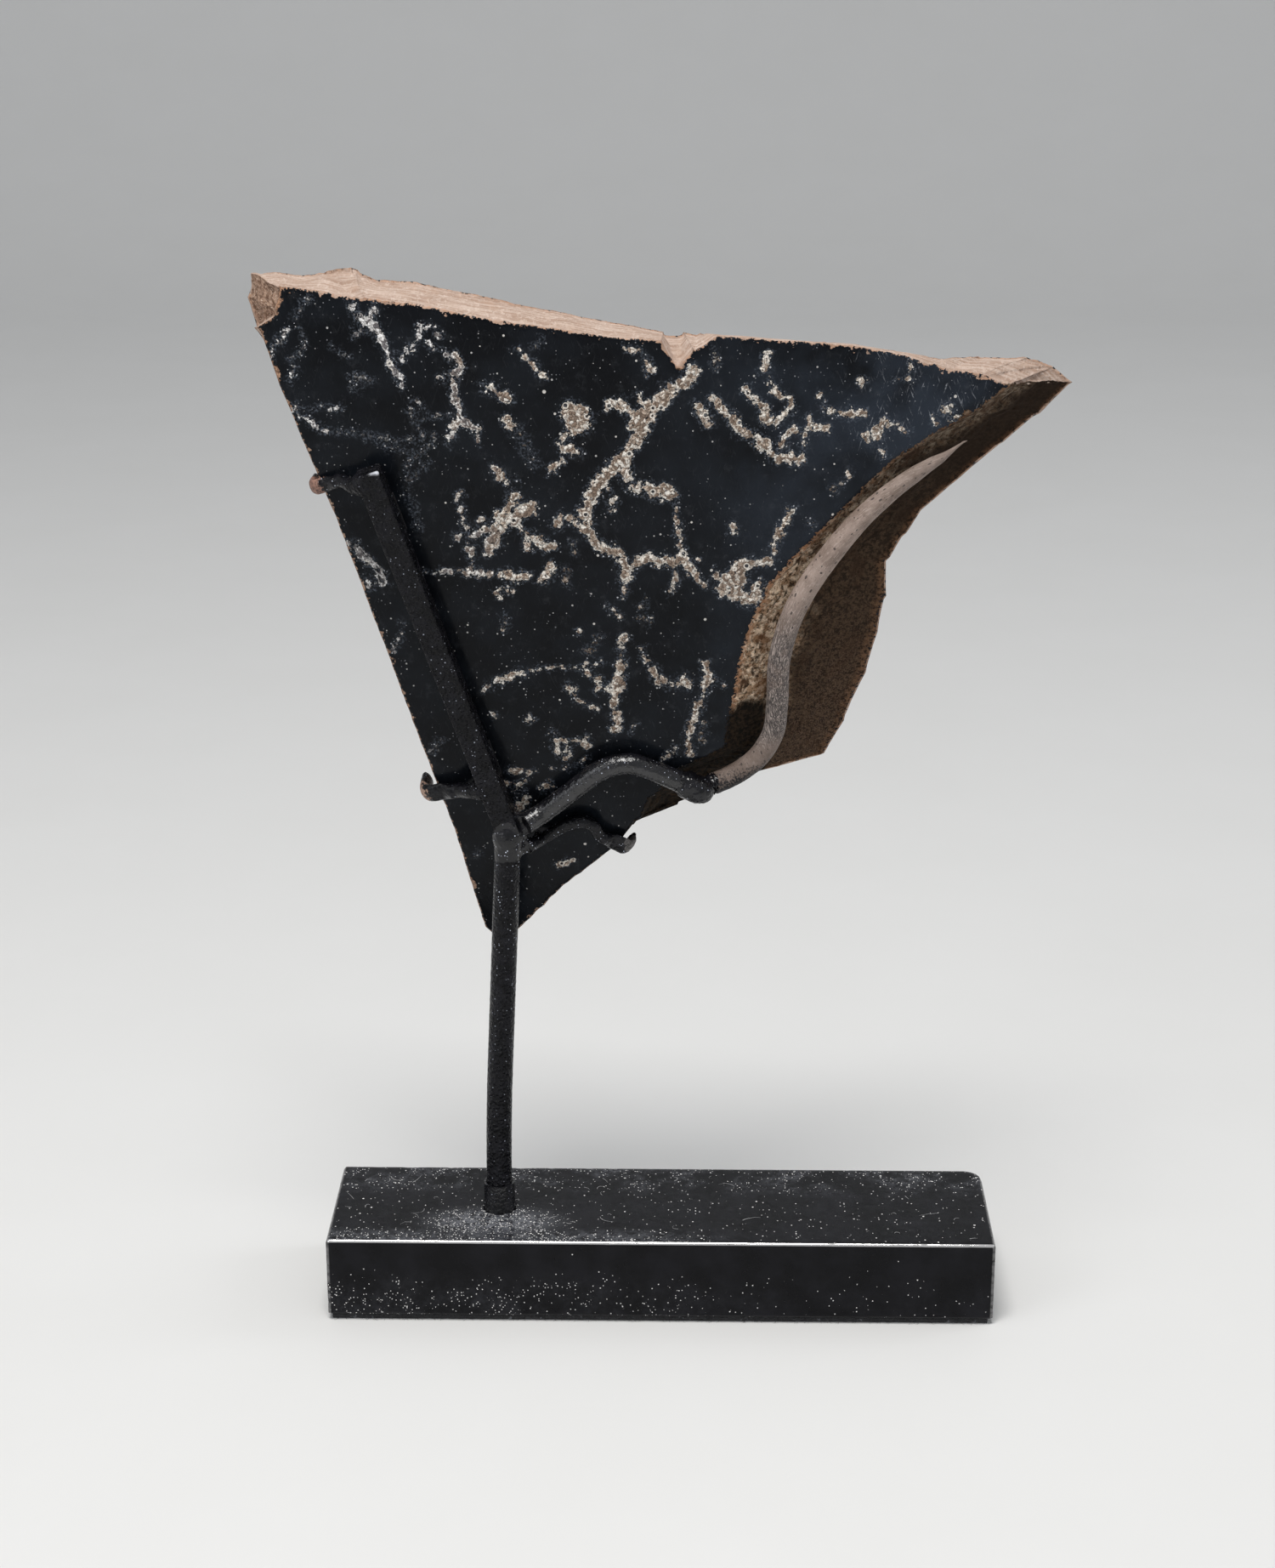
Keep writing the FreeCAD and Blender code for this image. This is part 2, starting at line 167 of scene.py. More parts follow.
def store(mesh, name, values):
    """Keeps one number, or one vector, per point of the mesh for its finish to read."""
    kind = "FLOAT" if values.ndim == 1 else "FLOAT_VECTOR"
    attribute = mesh.attributes.new(name, kind, "POINT")
    attribute.data.foreach_set("value" if values.ndim == 1 else "vector", values.astype(np.float32).ravel())


# %% [markdown]
# ## The sherd's own directions
# Root marks, breaks and clay layers follow the cup's wall, not the table. So every point of the sherd
# is measured three ways: across, up along the leaning wall, and down through it from the glaze. The
# wall is part of a ball, so the last is just the ball's radius less the distance to its centre.

# %% Measure the sherd
lean = math.radians(12.0)
wall = 5.0
cup_radius = 260.0
cup_centre = np.array([-15.1044, 249.221, 158.9679])
wall_origin = np.array([-22.8, 0.926, 76.5732])
up_wall = np.array([0.0, -math.sin(lean), math.cos(lean)])


def wall_measures(points):
    """Outward direction, depth under the glaze, and the place across and up the wall."""
    radial = points - cup_centre
    from_centre = np.linalg.norm(radial, axis=1)
    across, up = points[:, 0] - wall_origin[0], (points - wall_origin) @ up_wall
    return radial / from_centre[:, None], cup_radius - from_centre, across, up


print("sherd's wall mm", wall, "leans", round(math.degrees(lean)), "degrees")

# %% [markdown]
# ## Fine faces with sharp rims
# The sherd isn't remeshed like the rods. Its rims are sharp, and the broad bevel on the right runs
# out to an edge thinner than any voxel, where a remesh leaves holes. Its own faces are cut up
# instead, always the longest edges first, which keeps them well shaped and every rim exact. The
# inside, where nothing small is shaped, can do with larger faces.

# %% Cut the faces finely
def joined(node):
    """A solid's faces, joined where their corners meet."""
    solid = bmesh.new()
    solid.from_mesh(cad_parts[node].data)
    bmesh.ops.remove_doubles(solid, verts=solid.verts, dist=0.002 * MM)
    return solid


def cut_finely(node, grain, plain):
    """A solid's faces cut up until no edge is longer than a grain (mm), or two where it is plain."""
    solid = joined(node)
    bmesh.ops.triangulate(solid, faces=solid.faces)
    mesh = bpy.data.meshes.new(node + "_fine")
    solid.to_mesh(mesh)
    solid.free()
    points = read_points(mesh)
    faces = np.array([face.vertices[:] for face in mesh.polygons])
    while True:
        sides = np.sort(np.stack([faces, np.roll(faces, -1, axis=1)], axis=2).reshape(-1, 2), axis=1)
        keys, side = np.unique(sides[:, 0] * len(points) + sides[:, 1], return_inverse=True)
        ends = np.column_stack([keys // len(points), keys % len(points)])
        limit = np.full(len(ends), 2 * grain)
        limit[side.reshape(-1, 3)[~plain(points)[faces].all(axis=1)]] = grain
        over = np.linalg.norm(points[ends[:, 0]] - points[ends[:, 1]], axis=1) / limit
        if over.max() <= 1:
            break
        cut = over > max(1, 0.6 * over.max())
        middle = np.full(len(ends), -1)
        middle[cut] = len(points) + np.arange(cut.sum())
        points = np.vstack([points, points[ends[cut]].mean(axis=1)])
        middle = middle[side].reshape(-1, 3)
        # Each face is turned so that its cut sides come first, then split by how many there are.
        halved = middle >= 0
        count = halved.sum(axis=1)
        turn = np.where(count == 2, (~halved).argmax(axis=1) + 1, 0)
        turn = np.where(count == 1, halved.argmax(axis=1), turn)
        order = (turn[:, None] + np.arange(3)) % 3
        a, b, c = np.take_along_axis(faces, order, axis=1).T
        m, n, p = np.take_along_axis(middle, order, axis=1).T
        one, two, three = count == 1, count == 2, count == 3
        from_m, from_a = [np.linalg.norm(points[p] - points[q], axis=1) for p, q in ((m, c), (a, n))]
        short = from_m < from_a
        pieces = [(count == 0, (a, b, c)), (one, (a, m, c)), (one, (m, b, c)), (two, (m, b, n)),
                  (two & short, (a, m, c)), (two & short, (m, n, c)), (two & ~short, (a, m, n)),
                  (two & ~short, (a, n, c)), (three, (a, m, p)), (three, (m, b, n)), (three, (p, n, c)),
                  (three, (m, n, p))]
        faces = np.vstack([np.column_stack(corners)[which] for which, corners in pieces])
    mesh.clear_geometry()
    return fill(mesh, points, faces.tolist())


fine = cut_finely("sherd", 0.42, lambda points: wall_measures(points)[1] > wall - 0.02)
sherd = dress("sherd_weathered", fine, "sherd", "sherd")
points = read_points(sherd.data)
outward, depth, across, up = wall_measures(points)
print("across", across.min().round(1), across.max().round(1), "up", up.min().round(1), up.max().round(1))

# %% [markdown]
# ## True curves and torn breaks
# The solid's rims are straighter than the real ones. So the upper left corner is worn round, and the
# two rims of the top break are raised or lowered by up to a millimetre, read from the photograph.
# The glaze mirrors the room, so the outer and inner faces are then pressed exactly onto their balls.
# The breaks are the opposite: fired clay tears in short steps along its layers. Noise that is
# stretched along the wall and squeezed through it gives those layers. It only ever cuts inwards, and
# less where the wall runs out thin, so the sherd keeps its size.

# %% Wear the corner and shape the top rims
edges = read_edges(sherd.data)
corner = np.argmax(0.8 * up - across)
corner_gap = np.hypot(across - across[corner], up - up[corner])
worn = evened(points, edges, 25) - points
worn -= outward * np.sum(worn * outward, axis=1)[:, None]
points += worn * ease(corner_gap, 3.0, 1.0)[:, None]
# Each pair is a place across the wall and how far the rim is raised there, in mm.
far_rim = [(-36, 0.6), (-33, 0.9), (-31, 1.0), (-29, 0.7), (-27.5, 0.3), (-25.5, 0.5), (-23.8, 1.05),
           (-21.8, 0.7), (-20, 0.1), (-19.4, 0), (-18.8, -0.45), (-16.8, -0.8), (-14.7, -0.5), (-11.1, 0)]
near_rim = [(-33, 0), (-29.2, 0.85), (-24.5, 0.7), (-16.4, 0.35), (-8.3, 0.4), (-0.3, 0.3), (7.8, 0.15),
            (15.8, 0), (23, 0.25), (25, 0)]
far_lift, near_lift = [np.interp(across, *zip(*rim)) for rim in (far_rim, near_rim)]
far_share = ease(depth, 1.0, 4.0)
rim_up, rim_fall = 78.3, 0.117  # at the middle, and how much lower for each mm to the right
under_rim = rim_up - rim_fall * across - up
lift = (far_lift * far_share + near_lift * (1 - far_share)) * ease(under_rim, 6.0, 1.5)
points += up_wall * lift[:, None]
write_points(sherd.data, points)
print("corner worn by mm", np.linalg.norm(worn[corner]).round(2))
print("rims moved by mm", lift.min().round(2), "to", lift.max().round(2))

# %% Press the faces
outward, depth, across, up = wall_measures(points)
normals = read_normals(sherd.data)
facing = np.sum(normals * outward, axis=1)
outer, inner = depth < 0.08, (depth > wall - 0.08) & (facing < 0.5)
for shows, radius in ((outer, cup_radius), (inner, cup_radius - wall)):
    points[shows] = cup_centre + outward[shows] * radius
outward, depth, across, up = wall_measures(points)
print("points on the glaze", int((depth < 0.01).sum()), "on the inside", int((depth > wall - 0.01).sum()))

# %% Tear the breaks
layered = np.column_stack([across, up, depth])
in_break = ease(depth, 0.05, 0.4) * ease(wall - depth, 0.05, 0.4)
rough = ease(facing, 0.55, 0.85)
tear = np.zeros(len(points))
rows = np.flatnonzero(in_break > 0)
# Steps, thin layers and grit: the size of each along and through the wall, and how deep it cuts.
for along, through, octaves, shallow, added in ((4.5, 1.4, 3, 0.07, 0.26), (9.0, 0.4, 2, 0.03, 0.12),
                                                (1.2, 0.6, 4, 0.04, 0.16)):
    bumps = ripple(layered[rows], (along, along, through), octaves)
    tear[rows] += (shallow + added * rough[rows]) * (1 + bumps)
tear = np.minimum(tear, 0.5 * np.minimum(depth, wall - depth) + 0.02) * ease(corner_gap, 1.0, 5.0)
points -= normals * (tear * in_break)[:, None]
print("break points", len(rows), "deepest tear mm", tear.max().round(2))

# %% [markdown]
# ## Nibbled rims
# Slip and clay break away together along a rim in small bites, and the slip alone flakes off a
# little further in. The bites move the rim sideways along the wall. The flakes are only a hair deep,
# and the finish shows bare clay there, so both read the same distance from the rim.

# %% Nibble the rims
def from_rim(band):
    """Distance (mm) from each point to the rim points in a band, and their sideways direction."""
    rows = np.flatnonzero(band)
    tree = kdtree.KDTree(len(rows))
    for row in rows:
        tree.insert(Vector(points[row]), int(row))
    tree.balance()
    found = [tree.find(Vector(p)) for p in points]
    sideways = normals[[hit[1] for hit in found]]
    sideways = sideways - outward * np.sum(sideways * outward, axis=1)[:, None]
    sideways /= np.maximum(np.linalg.norm(sideways, axis=1), 1e-6)[:, None]
    return np.array([hit[2] for hit in found]), sideways


on_wall = np.column_stack([across, up, 0 * up])
bites = 0.14 * (1 + ripple(on_wall, 1.7, 4)) + 0.1 * (1 + ripple(on_wall, 6.0))
calm = 1.0 - ease(under_rim, 3.0, 8.0) * np.where(across > 0, 0.75 * ease(across, 8.0, 16.0), 0.45)
bites = bites * ease(corner_gap, 0.5, 3.0) * calm
rim_gap, rim_side = from_rim((depth < 0.4) & (facing < 0.985))
far_gap, far_side = from_rim((depth > wall - 0.4) & (facing > -0.985))
for gap, side in ((rim_gap, evened(rim_side, edges, 3)), (far_gap, evened(far_side, edges, 3))):
    points -= side * (bites * ease(gap, 1.6, 0.2))[:, None]

flakes = 0.75 * ease(ripple(on_wall, 1.3), 0.05, 0.7) * calm + 0.1
large_flakes = ((-6.3, -14.0, 0.8), (65.3, 62.3, 0.7), (-31.0, 69.0, 0.8))
flake_depth = 0.13
for place_u, place_v, size in large_flakes:
    flakes = np.maximum(flakes, 1.6 * size - np.hypot(across - place_u, up - place_v))
slip_gap = np.minimum(rim_gap, far_gap) - flakes
on_face = (depth < 0.25) | (depth > wall - 0.25)
sunk = np.where(on_face, flake_depth * ease(slip_gap, 0.25, -0.1), 0)
points -= outward * (np.where(depth < wall / 2, 1, -1) * sunk)[:, None]
print("flaked points", int((sunk > 0.05).sum()))

# %% [markdown]
# ## Root marks
# Plant roots lay against the buried sherd and left a pale, knotted crust of lime. The marks could be
# pure noise, but their paths are what makes this sherd itself, so each is a drawn stroke, listed:
# width in mm, strength, and its points across and up the wall. The mesh keeps the distance to the
# nearest stroke, and both the raised crust and its colour grow from that one number.

# %% The strokes
drawn = """
20 10 315 386 323 397 333 407 345 420
12 9 328 376 338 389 342 399
8 7 -288 751 -301 738 -314 723 -319 705
4 5 -273 750 -266 738 -269 723 -290 710
9 7 -280 698 -291 680
4 5 -258 798 -272 779 -280 766
10 8 -200 787 -188 771 -176 761
9 9 -165 791 -173 776 -186 761 -194 746
12 9 -173 766 -159 748 -150 726 -148 709 -136 695 -132 680
10 8 -100 762 -110 747 -120 730 -136 714
6 6 -88 760 -77 750
6 6 -100 742 -79 733
10 9 -69 724 -54 722 -52 709 -60 695 -63 680 -58 660 -54 643 -59 627 -70 604
9 9 -54 643 -44 630 -30 621 -28 603
6 7 -80 694 -70 697
11 5 -201 690 -186 690 -174 683
6 5 -186 690 -202 670
4 5 -229 730 -205 716
8 8 -293 642 -278 631 -259 619 -234 610
8 5 -234 610 -204 609 -174 606 -144 602 -110 603
4 6 -293 640 -253 642 -215 647
6 4 -174 601 -155 591 -120 588
4 6 -123 661 -113 661 -103 649
9 5 -121 643 -114 628 -104 613
4 5 -103 639 -74 640 -49 640
7 5 -90 609 -105 588 -131 567 -129 546
5 5 -98 573 -114 557 -124 544
12 4 -129 530 -121 499 -116 478
11 8 -16 681 -9 683 1 671 15 666
11 7 12 636 24 621
14 3 24 621 34 601 48 576
10 8 -6 570 1 555 16 550
4 6 26 735 45 718 70 694
10 8 55 709 62 701
4 5 60 747 55 738
30 10 101 649 115 642 110 627
13 8 93 612 88 597 108 591
7 9 85 576 70 563
5 7 179 737 196 730 206 715
11 8 207 713 211 705
22 10 240 675 223 663 211 646 196 616
17 10 196 616 181 591 162 571 142 550 129 524 119 503 121 482
12 9 152 657 167 659 182 646 206 649
8 8 196 671 201 656
11 9 181 591 176 565 179 550
8 8 147 545 161 524 156 508
13 10 79 482 89 494 102 492 116 480 126 471
14 10 126 474 136 455 163 444
13 9 196 539 221 536 241 528
13 10 20 526 12 511 2 495 -14 476
13 10 -14 476 -39 467 -64 463
17 10 42 508 22 498 2 481 -14 454 -19 446
13 10 12 492 31 476 46 463 71 450
9 8 38 452 38 447
8 8 -57 527 -57 521
8 9 -55 507 -51 485 -53 469
8 7 -26 490 -23 487
8 9 -44 448 -44 432 -43 416
4 7 -114 408 -91 411 -61 410
11 9 -51 409 -36 408 -15 408
15 10 -3 410 15 405 35 403
6 5 11 392 9 378
6 5 -5 381 -9 372
9 8 56 398 65 409 71 420
6 4 93 420 92 390
5 4 104 461 103 442
14 10 171 428 178 420 176 403
8 9 176 403 173 376
15 10 183 420 206 432 226 427 261 427
8 7 155 356 165 342
9 4 3 345 0 322
9 4 135 306 119 283
16 6 -216 446 -197 428 -177 410 -168 389
14 6 -194 390 -189 385
6 6 -145 328 -146 305 -168 275
12 9 186 539 201 534 231 523 243 528
7 10 246 512 248 496 251 469 256 442 252 429
11 9 261 421 274 404 286 390
7 7 246 402 239 380
6 6 280 429 283 426
5 6 304 408 304 404
10 9 410 497 398 474 386 448 382 424
12 10 382 424 357 420 337 407 322 397
18 10 314 377 337 373 352 362 363 364 365 383
8 8 328 480 330 467
6 4 206 372 198 356
8 4 201 339 208 334
10 10 173 308 169 288 167 271
15 10 167 271 165 247 162 224 159 200
10 9 147 225 159 217
9 8 114 259 124 245 134 239 133 221
9 4 137 306 119 283
8 6 198 288 203 270
11 9 216 255 221 237 247 231 259 242 267 227
11 10 290 259 295 238 290 220 280 191 275 167
6 8 303 238 316 225
10 9 270 161 265 136 268 111
8 4 288 160 286 129
6 7 247 118 229 100
13 9 161 179 162 169 158 156
9 8 -31 225 -10 236 16 247 24 250
3 7 32 253 88 259 155 268
12 8 94 225 98 223
6 8 -16 221 -15 218
6 8 108 318 111 317
6 8 -18 179 -16 177
6 8 34 174 36 172
8 9 68 151 73 127 80 108 90 102
5 7 76 136 101 135
7 8 92 124 90 102
12 9 117 136 118 129
7 8 117 108 106 92
6 5 103 206 131 191
9 9 6 81 19 79
7 8 32 79 24 63 10 46
12 8 -21 58 -2 56
11 8 53 51 63 57
11 9 22 43 23 27 9 3 11 -20
11 8 -6 16 6 3
10 9 74 34 80 37
3 6 64 85 95 88
11 5 -97 135 -111 112
5 6 190 163 185 151
18 10 268 705 261 688 239 676 220 659 190 632
10 9 276 655 286 640 291 627
11 9 296 662 313 646 328 628
15 10 328 628 348 612 368 596 388 577 418 571
6 9 423 576 425 601 432 616 431 636
11 9 395 595 402 607 412 612
9 9 344 675 357 660 367 644 367 629 387 628 401 640 411 646
10 9 384 671 401 660 411 645
9 9 373 721 368 701
3 6 374 698 375 684
10 9 451 645 461 639 481 631 506 634
9 8 441 618 454 612
10 9 514 596 526 607 536 619
10 9 512 598 529 597
5 8 541 614 569 604
6 8 537 581 538 566
10 8 489 547 492 543
12 9 623 630 630 629
9 4 469 526 479 531
4 6 549 676 571 677
3 7 571 699 571 682
4 4 300 733 300 706
5 6 444 661 446 660
5 6 504 682 505 674
4 4 437 481 440 470
5 5 632 612 641 616
5 5 606 614 609 611
12 7 74 -97 82 -92 89 -88
8 4 -56 -81 -52 -78
"""
root_marks = []
for line in drawn.strip().splitlines():
    width, strength, *path = [int(number) / 10 for number in line.split()]
    root_marks.append((width, strength, list(zip(path[::2], path[1::2]))))
print("strokes", len(root_marks))

# %% Lay the marks on the glaze
def stroke_distance(u, v):
    """Signed distance (mm) from each point to the nearest stroke's edge, and that stroke's strength."""
    best = np.full(len(u), 9.0)
    strength = np.zeros(len(u))
    for width, tone, line in root_marks:
        for start, end in zip(line, line[1:]):
            run = np.array(end) - np.array(start)
            along = ((u - start[0]) * run[0] + (v - start[1]) * run[1]) / max(run @ run, 1e-9)
            along = np.clip(along, 0, 1)
            gap = np.hypot(u - start[0] - along * run[0], v - start[1] - along * run[1]) - width / 2
            closer = gap < best
            best = np.where(closer, gap, best)
            strength = np.where(closer, tone, strength)
    return best, strength


wander = np.column_stack([ripple(on_wall, 2.2), ripple(on_wall + 31.0, 2.2)]) * 0.45
mark, tone = stroke_distance(across + wander[:, 0], up + wander[:, 1])
near_mark = np.flatnonzero((mark < 1.5) & (depth < 0.3))
lumps = np.array([noise.voronoi(Vector(p) / 0.85)[0][0] for p in on_wall[near_mark]])
mark[near_mark] += (lumps - 0.36) * 0.75 + 0.3 * ripple(on_wall[near_mark] + 57.0, 3.0, 2)
mark[depth > 0.3] = 9.0
crust_height = 0.17
crust = np.zeros(len(points))
lumpy = 0.6 + 0.5 * ripple(on_wall[near_mark], 0.7)
crust[near_mark] = ease(mark[near_mark], 0.12, -0.4) * tone[near_mark] * lumpy
crust *= crust_height * ease(rim_gap, 0.1, 0.5)
points += outward * crust[:, None]
write_points(sherd.data, points)
store(sherd.data, "wall_place", layered)
store(sherd.data, "mark", np.clip(mark, -2, 9))
store(sherd.data, "tone", tone)
store(sherd.data, "slip_gap", np.clip(slip_gap, -2, 9))
store(sherd.data, "facing", evened(np.column_stack([facing] * 3), edges, 4)[:, 0])
print("crusted points", int((crust > 0.02).sum()), "thickest mm", crust.max().round(2))

# %% [markdown]
# ## Building a finish
# Every finish is a small net of nodes. Writing each one out by hand hides the idea in plumbing, so a
# few short moves add the nodes, and the recipes below read like a list: this noise, that threshold,
# these coats from the bottom up. Plain values go straight onto the shader's own sockets.

# %% Moves that build a finish
bench = {}


def begin(name, **plain):
    """Puts a new material on the bench. Every move below adds to it."""
    bench["material"] = bpy.data.materials.new(name)
    bench["material"].use_nodes = True
    bench["tree"] = bench["material"].node_tree
    bench["shader"] = bench["tree"].nodes["Principled BSDF"]
    for socket, value in plain.items():
        bench["shader"].inputs[socket.replace("_", " ")].default_value = value


def feed(socket, value):
    """Gives a socket another node's output, or a plain value."""
    if isinstance(value, bpy.types.NodeSocket):
        bench["tree"].links.new(value, socket)
    else:
        socket.default_value = value


def add(kind, inputs, out=0, **settings):
    """Adds a node, sets it and feeds its inputs, and gives back one of its outputs."""
    node = bench["tree"].nodes.new("ShaderNode" + kind)
    for key, value in settings.items():
        setattr(node, key, value)
    for key, value in inputs.items():
        feed(node.inputs[key], value)
    return node.outputs[out]


def tell(what):
    """Prints how far the material on the bench has come."""
    print(f"{what:20s} {len(bench['tree'].nodes):4d} nodes so far")


def done(**sockets):
    """Feeds the shader's sockets and takes the material off the bench."""
    for socket, value in sockets.items():
        feed(bench["shader"].inputs[socket.replace("_", " ")], value)
    print(f"{bench['material'].name:20s} {len(bench['tree'].nodes):4d} nodes")
    return bench["material"]


# %% Places and numbers
def stored(name, out="Fac"):
    """What the mesh keeps under a name."""
    return add("Attribute", {}, out, attribute_name=name)


def stand_place():
    """The point's place in the stand's own frame, in mm."""
    return add("VectorMath", {0: add("TexCoord", {}, "Object"), "Scale": 1 / MM}, operation="SCALE")


def stretch(vector, scale):
    """Scales a place along each axis, so that patterns read at it are drawn out."""
    return add("VectorMath", {0: vector, 1: scale}, operation="MULTIPLY")


def split(vector, axis):
    """One of a place's three numbers."""
    return add("SeparateXYZ", {0: vector}, axis)


def distance(vector, point):
    """How far a place lies from a point."""
    return add("VectorMath", {0: vector, 1: point}, "Value", operation="DISTANCE")


def sum_of(kind):
    """A move that takes two or more numbers and works them out from left to right."""
    def work_out(first, *others):
        for other in others:
            first = add("Math", {0: first, 1: other}, operation=kind)
        return first
    return work_out


plus, minus, times = sum_of("ADD"), sum_of("SUBTRACT"), sum_of("MULTIPLY")
most, less = sum_of("MAXIMUM"), sum_of("LESS_THAN")


def fade(value, low, high, start=0.0, end=1.0):
    """A smooth change from start to end as the value goes from low to high."""
    if high < low:
        low, high, start, end = high, low, end, start
    inputs = {"Value": value, "From Min": low, "From Max": high, "To Min": start, "To Max": end}
    return add("MapRange", inputs, interpolation_type="SMOOTHSTEP")


def unsteady(value, noise, amount):
    """A value that noise moves up and down by an amount, so that what follows it isn't straight."""
    return plus(value, fade(noise, 0.3, 0.7, -amount, amount))


# %% Patterns, colours and relief
def clouds(vector, size, detail=3.0, roughness=0.55, twist=0.0, out="Fac"):
    """Cloudy noise, 0 to 1, with clouds about one size across."""
    inputs = {"Vector": vector, "Scale": 1 / size, "Detail": detail, "Roughness": roughness,
              "Distortion": twist}
    return add("TexNoise", inputs, out)


def cells(vector, size, out="Distance", feature="F1"):
    """Scattered cells about one size apart: the distance to a cell's middle, or its own chance colour."""
    return add("TexVoronoi", {"Vector": vector, "Scale": 1 / size}, out, feature=feature)


def bend(vector, size, amount):
    """Moves a place about by noise, so that cells lose their straight sides."""
    swirl = clouds(vector, size, 2.0, 0.5, out="Color")
    swirl = add("VectorMath", {0: swirl, 1: (0.5, 0.5, 0.5)}, operation="SUBTRACT")
    swirl = add("VectorMath", {0: swirl, "Scale": 2 * amount}, operation="SCALE")
    return add("VectorMath", {0: vector, 1: swirl}, operation="ADD")


def dots(vector, size, radius, share):
    """Round specks, one in a share of the cells, each up to one radius (in cells) wide."""
    cell = cells(vector, size, "Color")
    spot = less(cells(vector, size), times(split(cell, "Y"), radius))
    return times(spot, less(split(cell, "X"), share))


def blend(share, under, over):
    """The under colour where the share is 0 and the over colour where it is 1."""
    under, over = [c if isinstance(c, bpy.types.NodeSocket) else (*c, 1.0) for c in (under, over)]
    return add("Mix", {"Factor": share, 6: under, 7: over}, 2, data_type="RGBA")


def coats(colour, *layers):
    """Lays coats over a colour. Each is a share, 0 to 1, and then its own colour."""
    for share, coat in zip(layers[::2], layers[1::2]):
        colour = blend(share, colour, coat)
    return colour


def relief(height, size, strength=1.0, below=None):
    """Small bumps: the height is 0 to 1 and stands for one size (mm)."""
    inputs = {"Height": height, "Distance": size * MM, "Strength": strength}
    if below is not None:
        inputs["Normal"] = below
    return add("Bump", inputs)


# %% [markdown]
# ## The sherd's finish
# Three surfaces meet here: a black slip that fired to a gloss, the clay inside it, and the crust on
# top. One material holds all three, because their borders run through single faces: the clay starts
# a hair below the glaze, and the crust starts where the distance to a stroke passes zero. Noise
# breaks up both borders so that they look worn and not cut.

# %% What the mesh tells the finish
begin("fired_black_gloss", Specular_IOR_Level=0.11)
where = stored("wall_place", "Vector")
u, v, below = [split(where, axis) for axis in "XYZ"]
mark_gap, tone, slip_gap, facing = [stored(name) for name in ("mark", "tone", "slip_gap", "facing")]
speck = clouds(where, 0.22, 3, 0.6)
grain = clouds(where, 0.55, 5, 0.7)
cloud = clouds(where, 4, 4)
tell("the measures")

# %% The slip
# Nearly black, with a painted blue sheen of reflected light towards the right edge and thin grey
# clouds where it wore. Fine scratches cross near the right corner, and there are pinpricks of lime all
# over.
painted_blue_sheen = times(fade(u, 15, 62), fade(clouds(where, 11, 3), 0.3, 0.66))
wear = times(fade(clouds(where, 2.6, 6, 0.72), 0.54, 0.76), 0.1)
slants = [add("CombineXYZ", {"X": plus(u, times(v, slant)), "Y": v, "Z": below}) for slant in (-0.28, 0.4)]
hatch = most(*[clouds(stretch(tilted, (3.6, 0.4, 1)), 1, 3, 0.6, 0.3) for tilted in slants])
scratched = times(fade(u, 45, 52), fade(v, 55, 60), fade(cloud, 0.4, 0.58))
scratched = most(times(scratched, fade(speck, 0.3, 0.6), 0.6), 0.02)
shown = fade(below, wall / 2 + 0.5, wall / 2 - 0.5, 0.3, 1)
thick = times(fade(cloud, 0.4, 0.62, 0.12, 0.5), shown)
slip = coats(
    (0.003, 0.0036, 0.005),
    fade(clouds(where, 9, 4), 0.35, 0.7), (0.007, 0.0088, 0.012),
    times(painted_blue_sheen, 0.65), (0.034, 0.044, 0.062),
    wear, (0.17, 0.18, 0.2),
    times(fade(hatch, 0.6, 0.72), scratched), (0.42, 0.44, 0.48),
    times(dots(where, 0.5, 0.2, thick), 0.45), (0.42, 0.43, 0.46),
    times(dots(where, 0.9, 0.17, thick), 0.75), (0.55, 0.54, 0.53),
    times(dots(where, 2.6, 0.1, times(shown, 0.55)), 0.85), (0.68, 0.65, 0.61))
tell("slip")

# %% Where the crust lies
# Lumps up to half a millimetre wide, ragged at the rim and pierced by holes, rings and pits. Far
# left it is ashen and broken.
ashen = fade(unsteady(u, cloud, 5), 2, -12)
bent = bend(where, 0.7, 0.35)
ragged = plus(mark_gap, times(minus(cells(bent, 1), 0.6), 0.9),
              fade(clouds(where, 0.34, 3, 0.6), 0.25, 0.75, -0.22, 0.22), times(ashen, 0.13))
ring_gap = cells(where, 1.5)
ring_here = less(split(cells(where, 1.5, "Color"), "X"), 0.34)
hole = times(fade(ring_gap, 0.19, 0.14), ring_here)
ring = times(fade(ring_gap, 0.17, 0.21), fade(ring_gap, 0.33, 0.27), ring_here)
pit_here = less(split(cells(bent, 0.66, "Color"), "X"), 0.45)
pit = times(fade(cells(bent, 0.66), 0.24, 0.16), pit_here)
patchy = minus(times(tone, 1.25), clouds(where, 0.9, 4, 0.65), times(ashen, 0.16))
crust = times(fade(ragged, 0.05, -0.05), fade(patchy, -0.04, 0.08))
crust = times(crust, minus(1, times(most(hole, pit), 0.92)))
tell("crust's place")
